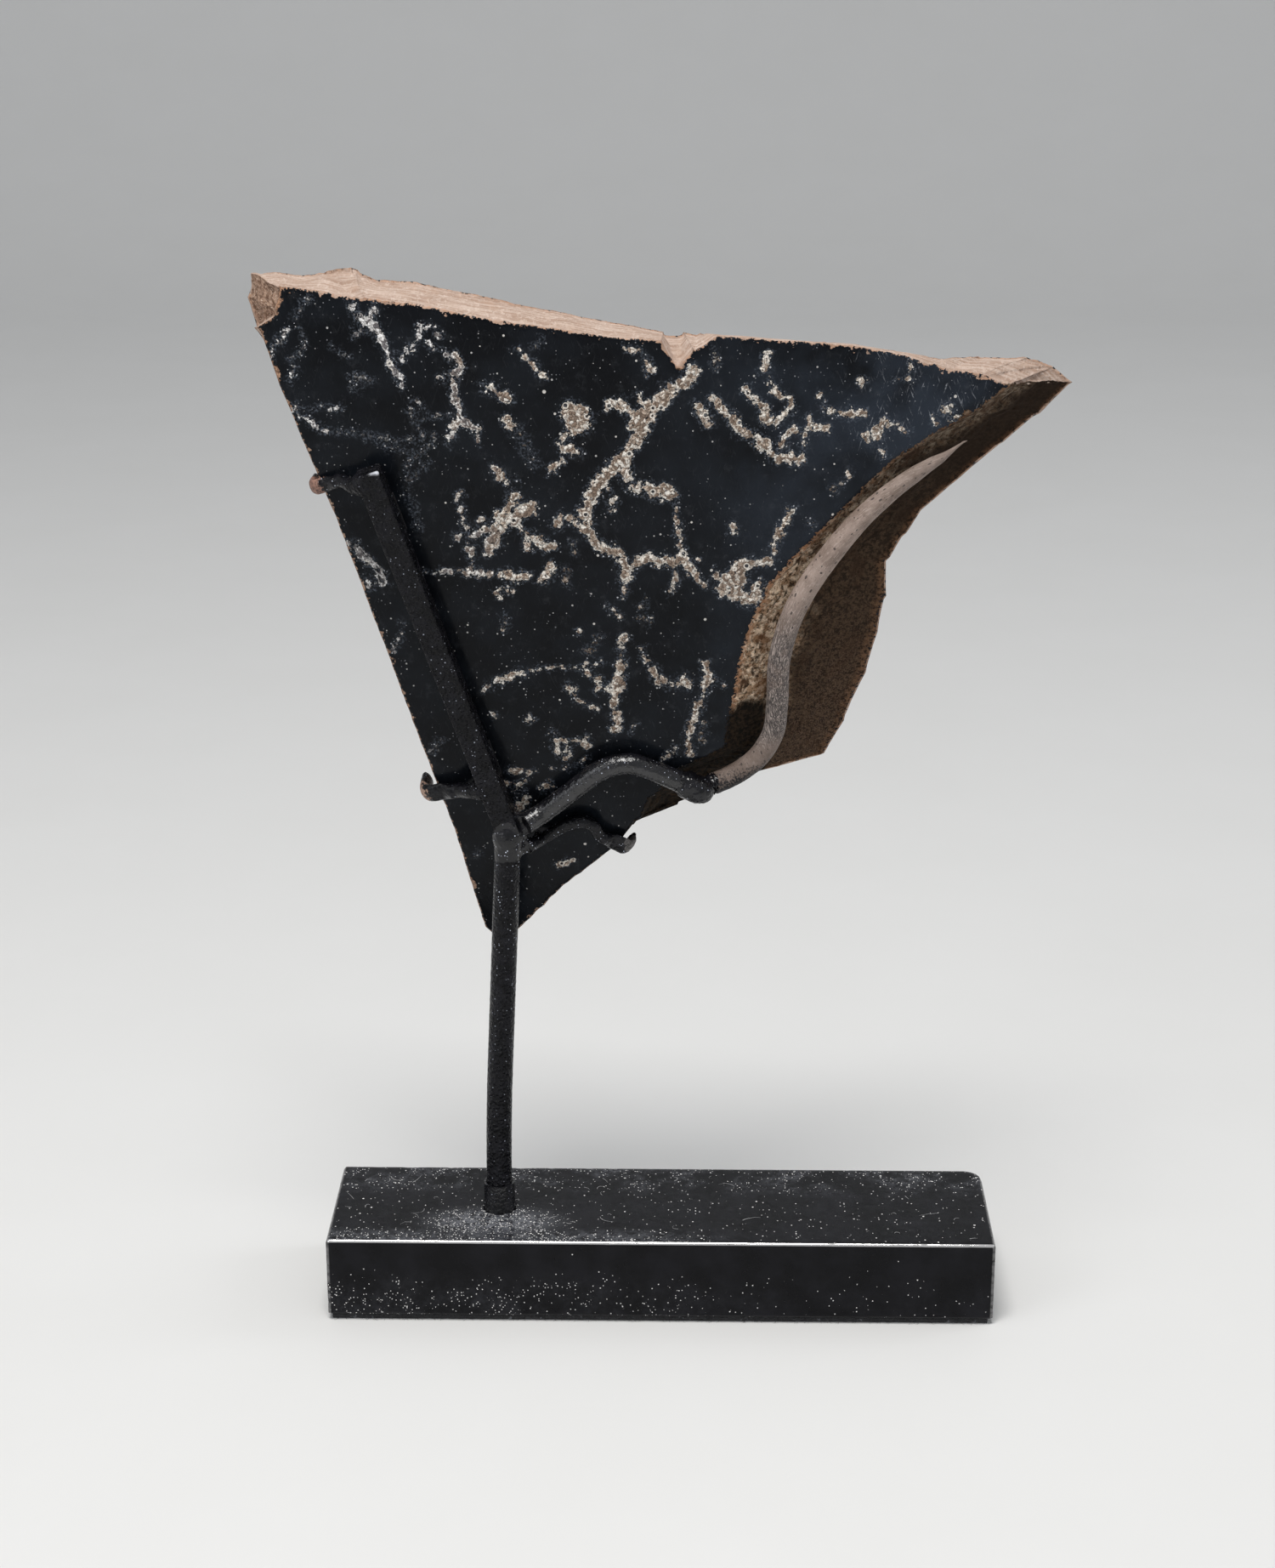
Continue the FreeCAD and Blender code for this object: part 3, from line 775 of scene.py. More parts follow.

# %% The crust's colours
# Each lump has its own shade of tan, with shade painted dark in the crevices between lumps and a
# film of grey-blue dust round them.
lump_edge = cells(bent, 0.52, feature="DISTANCE_TO_EDGE")
shade = plus(split(cells(bent, 0.52, "Color"), "Y"), fade(ragged, -0.55, -0.05, -0.22, 0.22),
             fade(clouds(where, 0.45, 5, 0.7), 0.35, 0.65, -0.25, 0.25))
grey_lime = blend(fade(shade, 0.2, 0.7), (0.15, 0.16, 0.185), (0.97, 0.97, 0.98))
lime = coats(
    (0.26, 0.19, 0.145),
    fade(shade, 0.05, 0.55), (0.64, 0.52, 0.425),
    fade(shade, 0.46, 0.74), (0.97, 0.91, 0.83),
    times(ashen, 0.75), grey_lime,
    times(fade(lump_edge, 0.1, 0.02), 0.55), (0.05, 0.038, 0.032),
    times(ring, 0.85), (0.93, 0.87, 0.79))
halo = times(fade(ragged, 0.85, 0), fade(tone, 0, 1, 0.35, 0.8))
film = times(halo, fade(clouds(where, 0.36, 4, 0.65), 0.44, 0.68))
glazed = coats(
    slip,
    times(film, 0.8), (0.17, 0.195, 0.24),
    times(dots(where, 0.4, 0.34, times(halo, 0.5)), 0.8), (0.56, 0.57, 0.6),
    crust, lime)
tell("crust's colours")

# %% Clean clay
# Buff-pink with faint layers, and dustier on the left break.
strata = clouds(stretch(where, (0.16, 0.16, 3.4)), 1, 5, 0.6)
buff = coats(
    (0.37, 0.255, 0.195),
    fade(strata, 0.34, 0.68), (0.57, 0.45, 0.38),
    fade(grain, 0.48, 0.68, 0, 0.6), (0.72, 0.61, 0.54),
    fade(speck, 0.4, 0.3, 0, 0.7), (0.3, 0.205, 0.165),
    fade(clouds(where, 2.2, 4, 0.6), 0.5, 0.72, 0, 0.5), (0.46, 0.315, 0.235))
dusty = coats(
    (0.145, 0.08, 0.052),
    fade(grain, 0.38, 0.62), (0.44, 0.295, 0.215),
    fade(speck, 0.58, 0.68), (0.66, 0.53, 0.43),
    fade(speck, 0.38, 0.32), (0.06, 0.035, 0.025))
tell("clean clay")

# %% Soil on the broad bevel
# Crumbly and brown with pale flecks near the glaze, still towards the thin edge and the top, where painted
# shade darkens it.
# Painted light and shade: the bevel counts as lit near the glaze, shaded deeper in and shaded at the top.
lit = fade(unsteady(below, cloud, 0.5), 3, 1)
flecks = fade(clouds(bend(where, 0.6, 0.4), 0.75, 4, 0.6), 0.4, 0.58)
flecks = times(flecks, fade(clouds(where, 1.6, 4, 0.65), 0.36, 0.58), lit)
seams = clouds(stretch(where, (0.35, 0.35, 2.6)), 0.9, 4, 0.65, 0.6)
upper = fade(unsteady(v, cloud, 3), 36, 56)
far_specks = times(fade(speck, 0.48, 0.62), fade(v, 44, 12, 0, 0.5), fade(below, 1.8, 3.4))
soil = coats(
    (0.036, 0.021, 0.012),
    fade(grain, 0.38, 0.58), (0.4, 0.25, 0.15),
    flecks, (0.88, 0.7, 0.52),
    fade(seams, 0.46, 0.36, 0, 0.85), (0.02, 0.012, 0.008),
    times(fade(cloud, 0.5, 0.64), 0.5), (0.2, 0.09, 0.04),
    fade(speck, 0.42, 0.35, 0, 0.55), (0.014, 0.009, 0.006),
    fade(lit, 1, 0, 0, 0.86), (0.018, 0.012, 0.008),
    far_specks, (0.18, 0.115, 0.082),
    times(upper, 0.8), (0.018, 0.011, 0.007))
tell("soil")

# %% All the clay
# The bevel ends in a line near the right tip. Raw clay shows orange along the rims, rusty low on the
# bevel, and a dark patch lies low down by the finger.
tip_line = unsteady(plus(v, times(u, 0.107), times(below, 0.38)), grain, 0.2)
bevel = times(fade(facing, 0.48, 0.66), fade(u, 12, 18), fade(tip_line, 73.7, 73.4))
by_rim = most(fade(below, 0.34, 0.1), fade(below, wall - 0.45, wall - 0.1))
by_rim = times(by_rim, fade(grain, 0.4, 0.58), fade(bevel, 0, 1, 0.55, 0.22))
rust = times(fade(below, 0.34, 0.12), fade(grain, 0.35, 0.55), bevel, fade(v, 52, 42))
low = fade(unsteady(v, cloud, 1), 19.6, 17.6)
dark_low_patch = blend(fade(grain, 0.4, 0.62), (0.005, 0.004, 0.003), (0.03, 0.019, 0.011))
clay = coats(
    buff,
    times(fade(facing, 0.35, 0.62), fade(u, -27, -30)), dusty,
    bevel, soil,
    by_rim, (0.47, 0.235, 0.125),
    times(rust, 0.8), (0.37, 0.185, 0.1),
    times(low, fade(u, 8, 14), fade(u, 39.4, 37.6)), dark_low_patch,
    times(fade(v, 82, 54), fade(u, 16, 10), 0.6), dusty)
tell("all the clay")

# %% Where the slip ends
# A hair below the faces and inside the flaked rims. Gloss goes with slip, dullness with the rest.
edge = unsteady(below, clouds(where, 0.5, 3), 0.05)
skin = most(fade(edge, 0.18, 0.1), fade(edge, wall - 0.18, wall - 0.1))
bitten = plus(slip_gap, fade(clouds(where, 0.45, 4), 0.25, 0.75, -0.3, 0.3))
skin = times(skin, fade(bitten, -0.04, 0.04))
bare = most(minus(1, skin), crust)
polish = fade(clouds(where, 2.2, 4), 0.3, 0.7, 0.15, 0.25)
polish = plus(polish, times(most(painted_blue_sheen, film), 0.16))
dullness = plus(times(polish, minus(1, bare)), times(bare, 0.86))
bumps = relief(clouds(where, 1.3, 3), 0.018, 0.4)
bumps = relief(times(crust, fade(lump_edge, 0, 0.25)), 0.22, 0.8, bumps)
bumps = relief(times(bare, plus(grain, times(speck, 0.5))), 0.26, 0.8, bumps)
sherd.data.materials.append(done(Base_Color=blend(skin, clay, glazed), Roughness=dullness, Normal=bumps))

# %% [markdown]
# ## Paint on the mount
# The rods are coated with black paint over grit, so the coat is pebbly. Its points of light are painted
# glints.
# The pebbles are real on the mesh, because they also break up the rods' outlines, and finer grain
# is left to the finish. Claw tips and the finger are touched up in a clay colour, so that they
# disappear against the sherd.

# %% Pebble the rods
def pebble(piece, size, height):
    """Raises and sinks the surface by up to half the height (mm), never past the solid's surface."""
    points = read_points(piece.data)
    bumps = np.clip(ripple(points, size, 2), -1, 1)
    points -= read_normals(piece.data) * (height * (1 - bumps) / 2)[:, None]
    write_points(piece.data, points)
    return piece


def painted(name, node, grain, size, height):
    """A pebbled rod of the mount, dressed for its node."""
    return pebble(fine_copy(name, node, grain, "armature"), size, height)


post = painted("post_pebbled", "post", 0.24, 0.55, 0.07)
spine = painted("spine_pebbled", "spine_bar", 0.24, 0.55, 0.07)
arm = painted("arm_pebbled", "support_arm", 0.2, 0.6, 0.05)
finger = painted("finger_painted", "fracture_finger", 0.2, 0.8, 0.06)
claws = {which: painted("claw_" + which, which + "_claw", 0.13, 0.5, 0.08)
         for which in ("upper_left", "lower_left", "lower_right")}

# %% Rub the bar's top edge and paint a highlight along it
# Paint is rubbed off there, and a bluish highlight is painted along it. The mesh keeps how close each point
# lies to that edge.
spine_points = read_points(spine.data)
from_end = (spine_points @ up_wall).max() - spine_points @ up_wall
from_front = spine_points[:, 1] - spine_points[from_end < 0.4, 1].min()
store(spine.data, "rubbed_and_highlit", ease(from_end, 0.45, 0.2) * ease(from_front, 0.6, 0.3))
print("rubbed points", int((from_end < 0.45).sum()))

# %% Smooth the filler metal
# Filler metal flows into every gap. So the rods and the filler are swelled until they meet, run
# together, rounded off and shrunk back, which leaves soft hollows between them. The skin is thinned
# out along each rod until it sinks into it. At the arm it was laid on in drops and is left lumpy.
def flowed(name, node, rods, reach, grain, rounds, proud, drops=0.03, bead=1.5, swell=0.6, size=1.0):
    """Filler over a joint, up to reach (mm) from the middle of its solid and proud (mm) of the rods."""
    low, high = [np.array(corner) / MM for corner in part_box(node)]
    centre = (low + high) / 2
    heap = bmesh.new()
    for part in (node, *rods):
        solid = joined(part)
        solid.normal_update()
        for vertex in solid.verts:
            if part == node:
                vertex.co = Vector(centre) * MM + (vertex.co - Vector(centre) * MM) * size
            vertex.co += vertex.normal * swell * MM
        mesh = bpy.data.meshes.new(part + "_swelled")
        solid.to_mesh(mesh)
        heap.from_mesh(mesh)
        solid.free()
        bpy.data.meshes.remove(mesh)
    mesh = bpy.data.meshes.new(name)
    heap.to_mesh(mesh)
    heap.free()
    mesh = remeshed(mesh, grain)
    skin = bmesh.new()
    skin.from_mesh(mesh)
    middle = Vector(centre) * MM
    far = [v for v in skin.verts if (v.co - middle).length > reach * MM]
    bmesh.ops.delete(skin, geom=far, context="VERTS")
    bmesh.ops.holes_fill(skin, edges=[e for e in skin.edges if e.is_boundary], sides=0)
    bmesh.ops.triangulate(skin, faces=[f for f in skin.faces if len(f.verts) > 4])
    skin.to_mesh(mesh)
    skin.free()
    points = evened(read_points(mesh), read_edges(mesh), rounds)
    write_points(mesh, points)
    gap = np.linalg.norm(points - centre, axis=1)
    rise = proud * ease(gap, reach * 0.9, reach * 0.5) - 0.6 * ease(gap, reach * 0.75, reach) - swell
    points += read_normals(mesh) * (rise + drops * ripple(points, bead))[:, None]
    write_points(mesh, evened(points, read_edges(mesh), 1))
    mesh.polygons.foreach_set("use_smooth", [True] * len(mesh.polygons))
    return dress(name, mesh, node, "armature")


meeting = ("post", "spine_bar", "support_arm", "lower_right_claw")
braze = [flowed("braze_junction", "junction_braze", meeting, 6.2, 0.2, 10, 0.24, size=0.8),
         flowed("braze_arm", "arm_braze", ("support_arm", "fracture_finger"), 4.4, 0.13, 3, 0.2,
                drops=0.15, bead=0.85, swell=0.5)]
for which in ("upper", "lower"):
    braze.append(flowed(f"braze_{which}_claw", which + "_claw_braze", (which + "_left_claw", "spine_bar"),
                        2.6, 0.14, 6, 0.1, swell=0.3))

# %% Paint finishes
def black_paint(name, gloss, pebbles, tip=None, tip_reach=0.0, tip_colour=None, level=0.24, **plain):
    """Black paint over pebbles (mm high), with a clay-coloured touch within tip_reach (mm) of a tip."""
    begin(name, Specular_IOR_Level=level, **plain)
    here = stand_place()
    tone = clouds(here, 1.8, 4)
    height = split(here, "Z")
    # Painted highlights: glints on the pebbles, more of them round the joint at the top of the post, and a
    # pale line on a rubbed edge.
    more_painted_glints = times(fade(height, 52, 68), fade(height, 77, 74), 0.45)
    glints = dots(here, 0.42, 0.25, plus(fade(tone, 0.4, 0.6, 0.12, 0.5), more_painted_glints))
    coat = coats(
        (0.0035, 0.0035, 0.0045),
        fade(tone, 0.35, 0.7), (0.0095, 0.0095, 0.0125),
        times(glints, plus(more_painted_glints, 0.65)), (0.56, 0.6, 0.7),
        times(stored("rubbed_and_highlit"), fade(tone, 0.2, 0.4)), (0.66, 0.68, 0.74))
    shine = fade(clouds(here, 0.9), 0.3, 0.7, gloss, gloss + 0.14)
    if tip is not None:
        gap = unsteady(distance(here, tip), clouds(here, 0.7, 4, 0.65), 0.8)
        touch = fade(gap, tip_reach + 0.2, tip_reach - 0.2)
        dark_tip = [0.35 * part for part in tip_colour]
        shade = blend(fade(clouds(here, 0.4, 4, 0.65), 0.35, 0.62), dark_tip, tip_colour)
        coat = blend(touch, coat, shade)
        shine = most(shine, times(touch, 0.5))
    bumps = relief(clouds(here, 0.3, 4, 0.65), pebbles, 0.7)
    bumps = relief(fade(cells(here, 0.46, feature="SMOOTH_F1"), 0.6, 0.1), pebbles, 0.9, bumps)
    return done(Base_Color=coat, Roughness=shine, Normal=bumps)


rod_paint = black_paint("paint_pebbly_black", 0.16, 0.2, level=0.16)
arm_paint = black_paint("paint_glossy_black", 0.14, 0.07, level=0.6, Coat_Weight=0.3, Coat_Roughness=0.12)
filler_paint = black_paint("paint_over_filler", 0.1, 0.04, level=0.42)
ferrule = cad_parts["post_ferrule"]
ferrule.data.materials.clear()
for coat, pieces in ((rod_paint, (post, spine, *braze[2:])), (arm_paint, (arm, ferrule)),
                     (filler_paint, braze[:2])):
    for piece in pieces:
        piece.data.materials.append(coat)

# %% Touch up the claws
# Each touch: which claw, the way its tip points, how far the colour reaches (mm), and the colour.
touches = {
    "upper": ("upper_left", (-1.0, -0.3, 0.0), 2.2, (0.3, 0.17, 0.13)),
    "lower": ("lower_left", (-1.0, -0.3, -0.4), 1.5, (0.5, 0.33, 0.25)),
    "right": ("lower_right", (1.0, -0.3, 0.0), 1.7, (0.16, 0.15, 0.145)),
}
for name, (which, toward, reach, colour) in touches.items():
    claw_points = read_points(claws[which].data)
    tip = claw_points[np.argmax(claw_points @ np.array(toward))].tolist()
    claws[which].data.materials.append(black_paint("paint_claw_" + name, 0.18, 0.05, tip, reach, colour))
    print(which, "tip mm", [round(v, 1) for v in tip])

# %% [markdown]
# ## The painted finger
# The long finger is painted to vanish against the break. The coat is creamy at both ends and dry
# brushed over black in the middle, so hairlines of paint run along the rod there. The rod bends, so
# plain coordinates would draw the hairlines straight across it. The rod nearly follows a circle, and
# the angle and radius from that circle's middle bend the streaks with it.

# %% Draw out the finger's tip
# The circle's middle, across and up the wall, and its radius, in mm.
circle_across, circle_up, circle_radius = 69.5, 24.0, 33.0
finger_points = read_points(finger.data)
bend_u = finger_points[:, 0] - wall_origin[0] - circle_across
bend_v = (finger_points - wall_origin) @ up_wall - circle_up
along = np.arctan2(bend_v, -bend_u) * circle_radius
slice_of = (along - along.min()).astype(int)
core = [np.bincount(slice_of, finger_points[:, k]) / np.bincount(slice_of) for k in range(3)]
stops = along.min() + 0.5 + np.arange(len(core[0]))
core = np.column_stack([np.interp(along, stops, line) for line in core])
thinned = np.interp(along, [24.0, 33.9, 40.4, 44.4, 46.8, 48.4], [1.0, 0.86, 0.7, 0.42, 0.2, 0.12])
write_points(finger.data, core + (finger_points - core) * thinned[:, None])
print("finger thinned at the tip to", thinned.min().round(2))

# %% Finger paint
store(finger.data, "rod_place", np.column_stack([along, np.hypot(bend_u, bend_v), finger_points[:, 1]]))
begin("paint_clay_colour", Specular_IOR_Level=0.3)
here = stored("rod_place", "Vector")
run = split(here, "X")
fine = clouds(here, 0.3, 4, 0.65)
blush = clouds(here, 3, 4, 0.6)
brush = clouds(stretch(here, (0.12, 1, 1)), 0.15, 3, 0.6, 0.9)
thin = times(fade(run, 16, 5), fade(run, -12.5, -9), fade(blush, 0.3, 0.52, 0.5, 1))
under = coats(
    (0.03, 0.027, 0.028),
    fade(fine, 0.4, 0.6), (0.1, 0.087, 0.082),
    fade(brush, 0.5, 0.61), (0.44, 0.37, 0.335))
pocks = most(dots(stretch(here, (0.5, 1, 1)), 0.5, 0.36, 0.5), dots(here, 0.85, 0.24, 0.35))
# Near the root the coat turns near black: the arm's black paint runs on there, with painted shadow over it.
root = fade(unsteady(run, fine, 1), -13.2, -15.2)
coat = coats(
    (0.205, 0.15, 0.122),
    fade(blush, 0.35, 0.66), (0.33, 0.255, 0.218),
    fade(brush, 0.5, 0.7, 0, 0.5), (0.54, 0.45, 0.4),
    fade(run, 28, 42, 0, 0.25), (0.13, 0.105, 0.092),
    fade(run, 2, -7, 0, 0.5), (0.1, 0.076, 0.064),
    fade(fine, 0.4, 0.33, 0, 0.75), (0.14, 0.105, 0.085),
    times(thin, 0.9), under,
    times(pocks, 0.9), (0.055, 0.042, 0.038),
    root, (0.01, 0.01, 0.012))
shine = fade(blush, 0.3, 0.7, 0.42, 0.66)
bumps = relief(brush, 0.09, 0.9, relief(fine, 0.05, 0.6))
finger.data.materials.append(done(Base_Color=coat, Roughness=shine, Normal=bumps))

# %% [markdown]
# ## The foot
# The foot is a piece of steel bar under black gloss paint. Its long top edges are rubbed to bare steel
# with a painted highlight along them, dust settles on top, thickest where a duster can't reach round
# the rod, and lint sticks to it. The rubbing, highlight and dust are colour and roughness that depend
# on the place on the bar, so they stay put from every side. Lint stands clear of the paint, so it is
# modelled.

# %% Foot and its paint
foot = fine_copy("foot_bar", "base_block", 0.4, "stand_base")
foot_points = read_points(foot.data)
low, high = foot_points.min(axis=0), foot_points.max(axis=0)
to_faces = np.sort(np.minimum(foot_points - low, high - foot_points), axis=1)
edge_share = ease(to_faces[:, 1], 1.2, 0.2)
dents = np.clip(ripple(foot_points, 2.2, 3) - 0.3, 0, 1)
foot_points -= read_normals(foot.data) * (0.14 * dents * edge_share + 0.01)[:, None]
write_points(foot.data, foot_points)
print("dented points", int((dents * edge_share > 0.1).sum()))

# %% Rubbed edges of the foot, with a painted highlight
# The planes of the foot's front, ends and top, in mm.
front_at, end_at, top_at = -12.55, 50.65, 13.55
begin("paint_foot_gloss", Specular_IOR_Level=0.14)
here = stand_place()
x, y, z = [split(here, axis) for axis in "XYZ"]


def edge_line(a, a_at, b, b_at, width):
    """A line along one edge, from the distances to the two planes that meet there."""
    gaps = [add("Math", {0: gap}, operation="ABSOLUTE") for gap in (minus(a, a_at), minus(b, b_at))]
    return fade(plus(*gaps), width, width * 0.35)


grit = clouds(stretch(here, (0.22, 1, 1)), 0.8, 4)
long_edge = times(edge_line(y, front_at, z, top_at, 0.42), fade(grit, 0.22, 0.4))
short_edges = most(*[edge_line(x, end, *plane, 0.5)
                     for plane in ((y, front_at), (z, top_at)) for end in (-end_at, end_at)])
# The rubbed edges are bare steel, and their pale colour is also a painted highlight.
rubbed_and_highlit = most(long_edge, times(short_edges, fade(grit, 0.3, 0.6), 0.22))
tell("rubbed edges")

# %% Dust on the foot
# Thickest round the rod, thinner along the front and back, and a little on the front face.
tone = clouds(here, 6, 4)
fluff = clouds(here, 1.1, 5, 0.7)
on_top = fade(z, 13.35, 13.6)
# Places across are counted at 0.45 here, so the halo round the rod is an oval.
from_rod = distance(stretch(here, (0.45, 1, 0)), (-11.5, -6.2, 0))
halo = fade(unsteady(from_rod, fluff, 1.2), 6.6, 1.6)
front_drift = times(fade(y, -7.5, -11.5), fade(x, 14, -8), 0.45)
back_drift = times(fade(y, 2, 10), fade(tone, 0.4, 0.6), 0.34)
dust = times(plus(most(halo, front_drift, back_drift), 0.05), on_top)
front_face = times(fade(z, 9.5, 3.5), fade(y, -12.3, -12.6), fade(tone, 0.36, 0.6, 0.25, 1),
                   fade(x, 26, -24, 0.22, 1))
dust = most(dust, times(front_face, 0.1))
grains = most(
    dots(here, 0.3, 0.42, times(dust, 1.1)),
    dots(here, 0.62, 0.26, times(dust, 0.8)),
    dots(here, 1.5, 0.13, times(plus(dust, 0.15), 0.8)),
    dots(here, 0.24, 0.42, times(front_face, 0.4)))
film = times(fade(fluff, 0.3, 0.75), dust, 0.75)
tell("dust")

# %% Gloss paint on the foot
coat = coats(
    (0.003, 0.003, 0.004),
    fade(tone, 0.35, 0.7), (0.0075, 0.0075, 0.01),
    film, (0.24, 0.25, 0.28),
    times(grains, 0.9), (0.82, 0.81, 0.8),
    times(rubbed_and_highlit, 0.92), (0.83, 0.82, 0.82))
smear = clouds(stretch(here, (0.35, 1, 1)), 3, 4)
shine = plus(fade(smear, 0.3, 0.7, 0.08, 0.2), times(plus(film, grains), 0.6))
steel = times(rubbed_and_highlit, 0.8)
bumps = relief(grains, 0.05, 0.6, relief(clouds(here, 1.2, 3), 0.02, 0.5))
foot.data.materials.append(done(Base_Color=coat, Roughness=shine, Metallic=steel, Normal=bumps))

# %% Threads
def ring_faces(start, rings, count):
    """Faces that join rings of points, each on the last, with a cap at both ends."""
    last = start + (rings - 1) * count
    faces = []
    for ring in range(start, last, count):
        for i in range(count):
            a, b = ring + i, ring + (i + 1) % count
            faces.append((a, b, b + count, a + count))
    return faces + [tuple(reversed(range(start, start + count))), tuple(range(last, last + count))]


def hairs(name, lines, radius, body):
    """Thin three-sided threads along short lines of points (mm), in one mesh."""
    verts, faces = [], []
    for line in lines:
        line = np.array(line, float)
        start = len(verts)
        for i, point in enumerate(line):
            ahead = line[min(i + 1, len(line) - 1)] - line[max(i - 1, 0)]
            side = np.cross(ahead, (0.3, 0.2, 1.0))
            side /= max(np.linalg.norm(side), 1e-9)
            rise = np.cross(side, ahead)
            rise /= max(np.linalg.norm(rise), 1e-9)
            thin = radius * (1.0 - 0.7 * i / (len(line) - 1))
            for k in range(3):
                turn = 2 * math.pi * k / 3
                verts.append(point + (side * math.cos(turn) + rise * math.sin(turn)) * thin)
        faces += ring_faces(start, len(line), 3)
    piece = placed(name, fill(bpy.data.meshes.new(name), verts, faces))
    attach(piece, body)
    print(f"{name:18s} {len(lines):5d} threads")
    return piece


# %% Lint on the foot
chance = random.Random(7)
foot_top = high[2]
lint_count = 46
lint_lines = []
for _ in range(lint_count):
    x0 = chance.gauss(-18, 22) if chance.random() < 0.6 else chance.uniform(-48, 48)
    x0 = min(max(x0, -48), 47)
    y0 = chance.uniform(-11.5, 11)
    heading = chance.uniform(0, 2 * math.pi)
    curl = chance.uniform(-1.1, 1.1)
    length = chance.choice([0.8, 1.2, 1.8, 3.0])
    line = []
    for i in range(7):
        line.append((x0, y0, foot_top + 0.03 + 0.1 * math.sin(math.pi * i / 6) * chance.random()))
        x0 = min(max(x0 + math.cos(heading) * length / 6, -50.0), 50.0)
        y0 = min(max(y0 + math.sin(heading) * length / 6, -12.2), 12.2)
        heading += curl * 0.5
    lint_lines.append(line)
lint = hairs("lint_on_foot", lint_lines, 0.035, "stand_base")
begin("lint", Roughness=0.9)
pale = blend(clouds(stand_place(), 3.0), (0.35, 0.36, 0.4), (0.78, 0.77, 0.74))
lint.data.materials.append(done(Base_Color=pale))

# %% [markdown]
# ## Felt
# Felt has no weave: its wool is matted, so its cut edge is soft and hairy. A rounded, slightly uneven
# edge with loose fibres reads as felt at once, and a few grey fibres stand out against the black.

# %% The felt's outline
felt_low, felt_high = [np.array(corner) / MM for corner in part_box("base_felt")]
middle = (felt_low + felt_high) / 2
half = (felt_high - felt_low) / 2


def felt_outline(step):
    """Points round the felt, about one step (mm) apart, with their outward directions."""
    rows = []
    for side, (sx, sy) in enumerate([(0, -1), (1, 0), (0, 1), (-1, 0)]):
        count = int(2 * half[side % 2] / step)
        for i in range(count):
            t = (i / count * 2 - 1) * (1 if side in (0, 1) else -1)
            x = half[0] * (sx or t)
            y = half[1] * (sy or t)
            rows.append((middle[0] + x, middle[1] + y, sx, sy))
    return np.array(rows)


outline = felt_outline(0.35)
count = len(outline)
print("points round the felt", count)

# %% The felt under the foot
levels = [0.03, 0.16, 0.34, 0.52, 0.7, 0.86, 0.97]
verts = []
for level in levels:
    ring = np.column_stack([outline[:, :2], np.full(count, level)])
    wave = 0.1 * math.sin(math.pi * level) - 0.1 - 0.08 * (1 + ripple(ring, 0.7))
    ring[:, :2] += outline[:, 2:] * wave[:, None]
    verts += ring.tolist()
felt_mesh = bpy.data.meshes.new("felt_under_foot")
fill(felt_mesh, verts, ring_faces(0, len(levels), count), smooth=False)
felt = dress("felt_under_foot", felt_mesh, "base_felt", "stand_base")

# %% Loose fibres
fibre_count = 900
fibre_lines = []
for _ in range(fibre_count):
    x0, y0, sx, sy = outline[chance.randrange(count)]
    z0 = chance.uniform(0.08, 0.9)
    length = chance.uniform(0.25, 1.0)
    slide = chance.uniform(-1.0, 1.0)
    line = []
    for i in range(5):
        t = i / 4
        reach = 0.55 * math.sin(t * 1.9) * length
        lift = z0 + chance.uniform(-0.06, 0.06) - 0.25 * t * t
        line.append((x0 + sx * reach - sy * slide * t * length, y0 + sy * reach + sx * slide * t * length,
                     min(max(lift, 0.05), 0.95)))
    fibre_lines.append(line)
fibres = hairs("felt_fibres", fibre_lines, 0.022, "stand_base")

# %% Felt finishes
begin("wool_felt", Roughness=0.95, Sheen_Weight=0.08, Sheen_Roughness=0.5)
here = stand_place()
matted = clouds(here, 0.3, 5, 0.7, 1.2)
stray = fade(clouds(here, 0.9, 4, 0.7), 0.62, 0.72)
tone = coats(
    (0.01, 0.01, 0.011),
    fade(matted, 0.35, 0.65), (0.045, 0.045, 0.048),
    times(stray, 0.7), (0.3, 0.31, 0.34))
wool_felt = done(Base_Color=tone, Normal=relief(matted, 0.12, 1))
for piece in (felt, fibres):
    piece.data.materials.append(wool_felt)

begin("dark_felt", Roughness=0.95, Specular_IOR_Level=0.1)
nap = clouds(stand_place(), 0.3, 5, 0.7, 1.2)
tone = blend(fade(nap, 0.35, 0.65), (0.006, 0.006, 0.007), (0.022, 0.022, 0.024))
dark_felt = done(Base_Color=tone, Normal=relief(nap, 0.12, 1))
for end in ("lower", "upper"):
    pad = pebble(fine_copy("pad_" + end, "spine_pad_" + end, 0.14, "armature"), 0.5, 0.08)
    pad.data.materials.append(dark_felt)

# %% [markdown]
# ## A plain studio
# The photograph has a black ground and one lamp above. Here the object stands on a pale sweep, so that
# every edge shows. A broad soft lamp overhead keeps the light's direction, which lights the
# upper break and the top of the foot, and an even world fills the shadows.

# %% Floor
# All in metres here: a long flat part, a curve behind the object and an upright back.
flat_end, curve, back_height, reach = 0.9, 0.5, 3.0, 12.0
profile = [(-reach, 0.0), (flat_end, 0.0)]
profile += [(flat_end + curve * math.sin(angle), curve - curve * math.cos(angle))
            for angle in np.linspace(0.1, math.pi / 2, 16)]
profile += [(flat_end + curve, back_height)]
verts = [(x, y, z) for y, z in profile for x in (-reach, reach)]
faces = [(2 * i, 2 * i + 1, 2 * i + 3, 2 * i + 2) for i in range(len(profile) - 1)]
sweep = placed("sweep", fill(bpy.data.meshes.new("sweep"), verts, faces, unit=1.0))
sweep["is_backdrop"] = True
begin("pale_paper", Roughness=0.75)
fibre = blend(clouds(stand_place(), 40.0, 3.0), (0.76, 0.76, 0.75), (0.79, 0.79, 0.785))
sweep.data.materials.append(done(Base_Color=fibre))


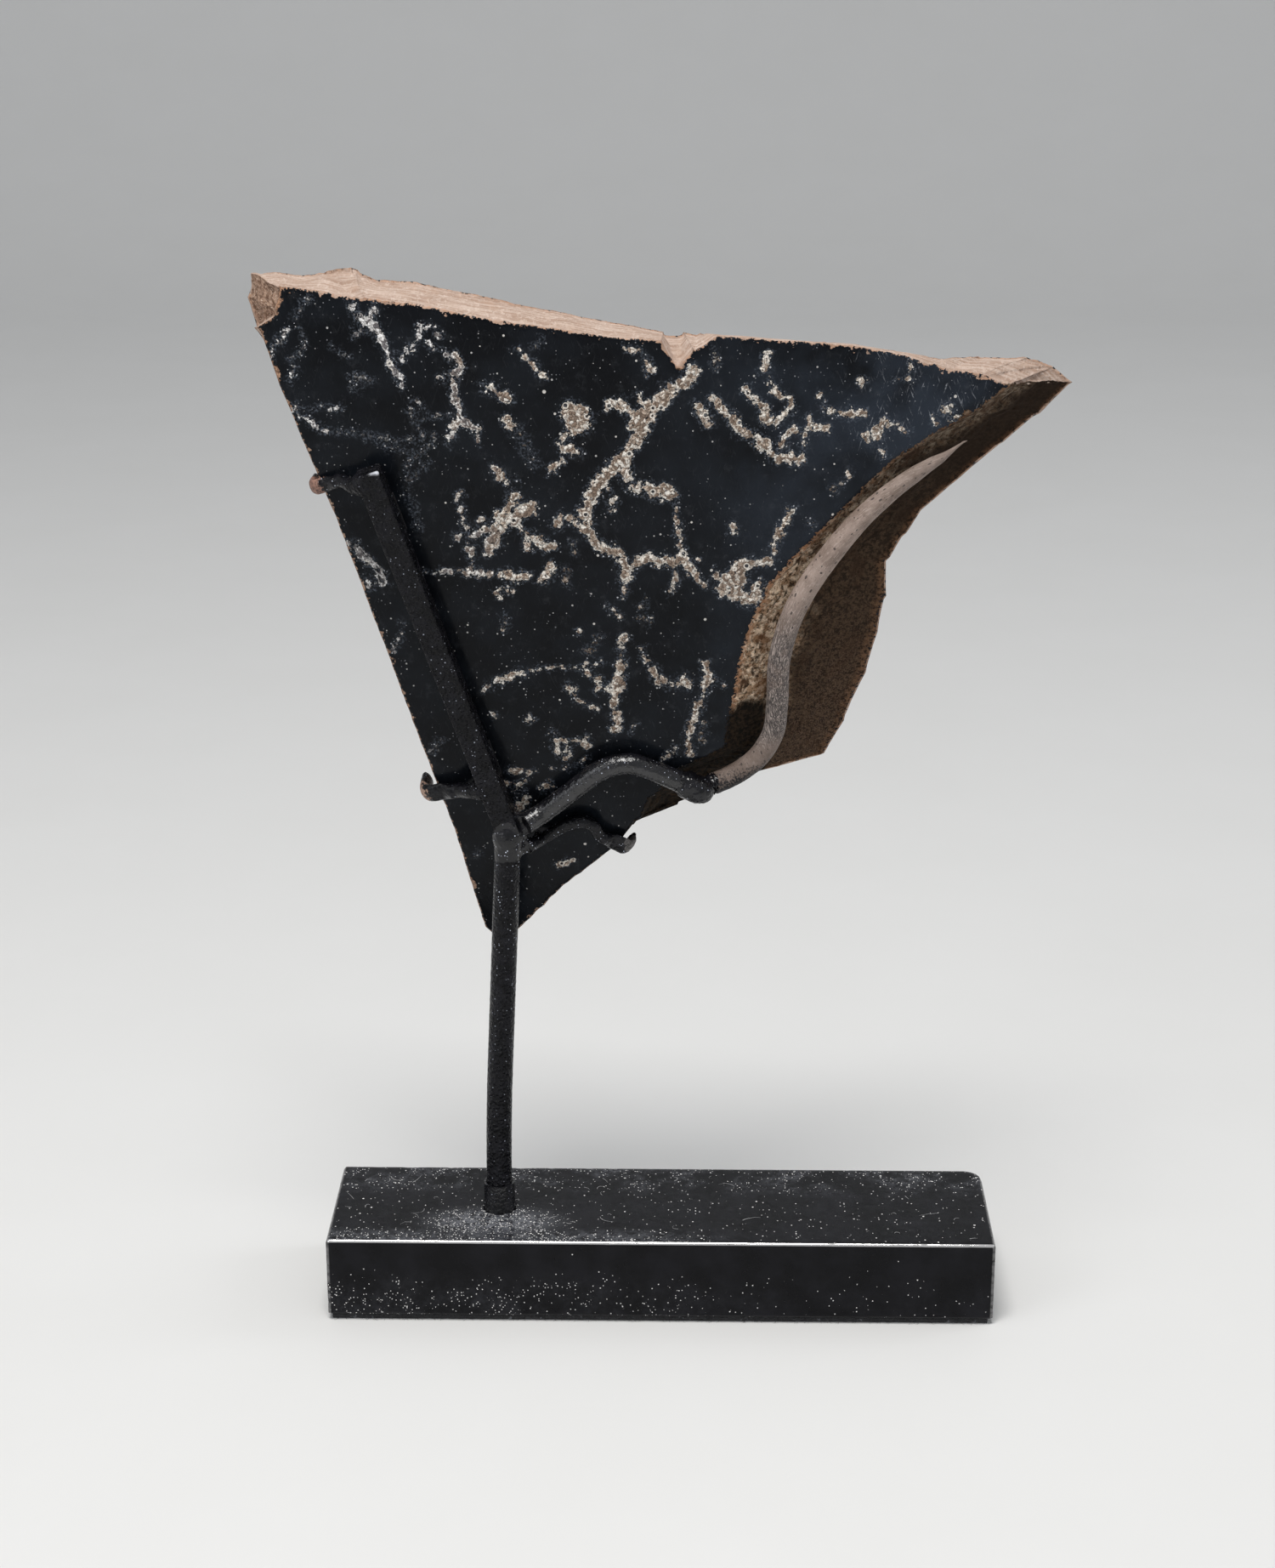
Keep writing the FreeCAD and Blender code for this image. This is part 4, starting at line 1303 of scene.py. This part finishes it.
# %% Lamps and world
def lamp(name, place, size, power, colour):
    """A soft rectangular lamp that points at the sherd."""
    data = bpy.data.lights.new(name, "AREA")
    data.shape = "RECTANGLE"
    data.size, data.size_y = size
    data.energy = power
    data.color = colour
    light = placed(name, data)
    light.location = place
    light.rotation_mode = "QUATERNION"
    light.rotation_quaternion = (Vector((0.0, 0.0, 0.09)) - Vector(place)).to_track_quat("-Z", "Y")


lamp("overhead_soft", (-0.06, -0.25, 0.76), (0.28, 0.24), 4.2, (1.0, 0.98, 0.95))
lamp("left_fill", (-0.75, -0.55, 0.45), (0.5, 0.6), 1.6, (0.95, 0.97, 1.0))
lamp("right_rim", (0.8, 0.2, 0.5), (0.3, 0.5), 1.2, (0.95, 0.97, 1.0))
world = bpy.data.worlds.new("studio")
world.use_nodes = True
sky = world.node_tree.nodes["Background"].inputs
sky["Color"].default_value = (0.92, 0.94, 0.97, 1.0)
sky["Strength"].default_value = 0.42
bpy.context.scene.world = world
bpy.context.scene.view_settings.view_transform = "Standard"
print("lamps", [light.name for light in bpy.data.lights])

# %% [markdown]
# ## The camera
# The photograph's camera was found from the corners of the foot: a long lens about 0.45 m away, a
# little above the piece and looking down nineteen degrees. Its axes are written out as a matrix,
# which avoids guessing at the order of turns.

# %% Camera
photo_height, focal_length = 1844, 3400        # pixels of the photograph
stands_at = Vector((3.01, -404.76, 220.39)) * MM
pitch, turn = math.radians(18.78), math.radians(0.94)
back = Vector((math.sin(turn) * math.cos(pitch), -math.cos(turn) * math.cos(pitch), math.sin(pitch)))
right = Vector((math.cos(turn), math.sin(turn), 0.0))
rows = Matrix((right, back.cross(right), back)).transposed().to_4x4()
rows.translation = stands_at
camera = placed("camera", bpy.data.cameras.new("camera"))
camera.matrix_world = rows
camera.data.sensor_width = 36.0
camera.data.lens = 36.0 * focal_length / photo_height
camera.data.clip_start, camera.data.clip_end = 0.02, 20.0
bpy.context.scene.camera = camera
print("lens", round(camera.data.lens, 2))

# %% Keep both boxes and finish
seen_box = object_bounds()
for which, box in (("cad", cad_box), ("seen", seen_box)):
    print(which, "mm", [round(v / MM, 2) for corner in box for v in corner])
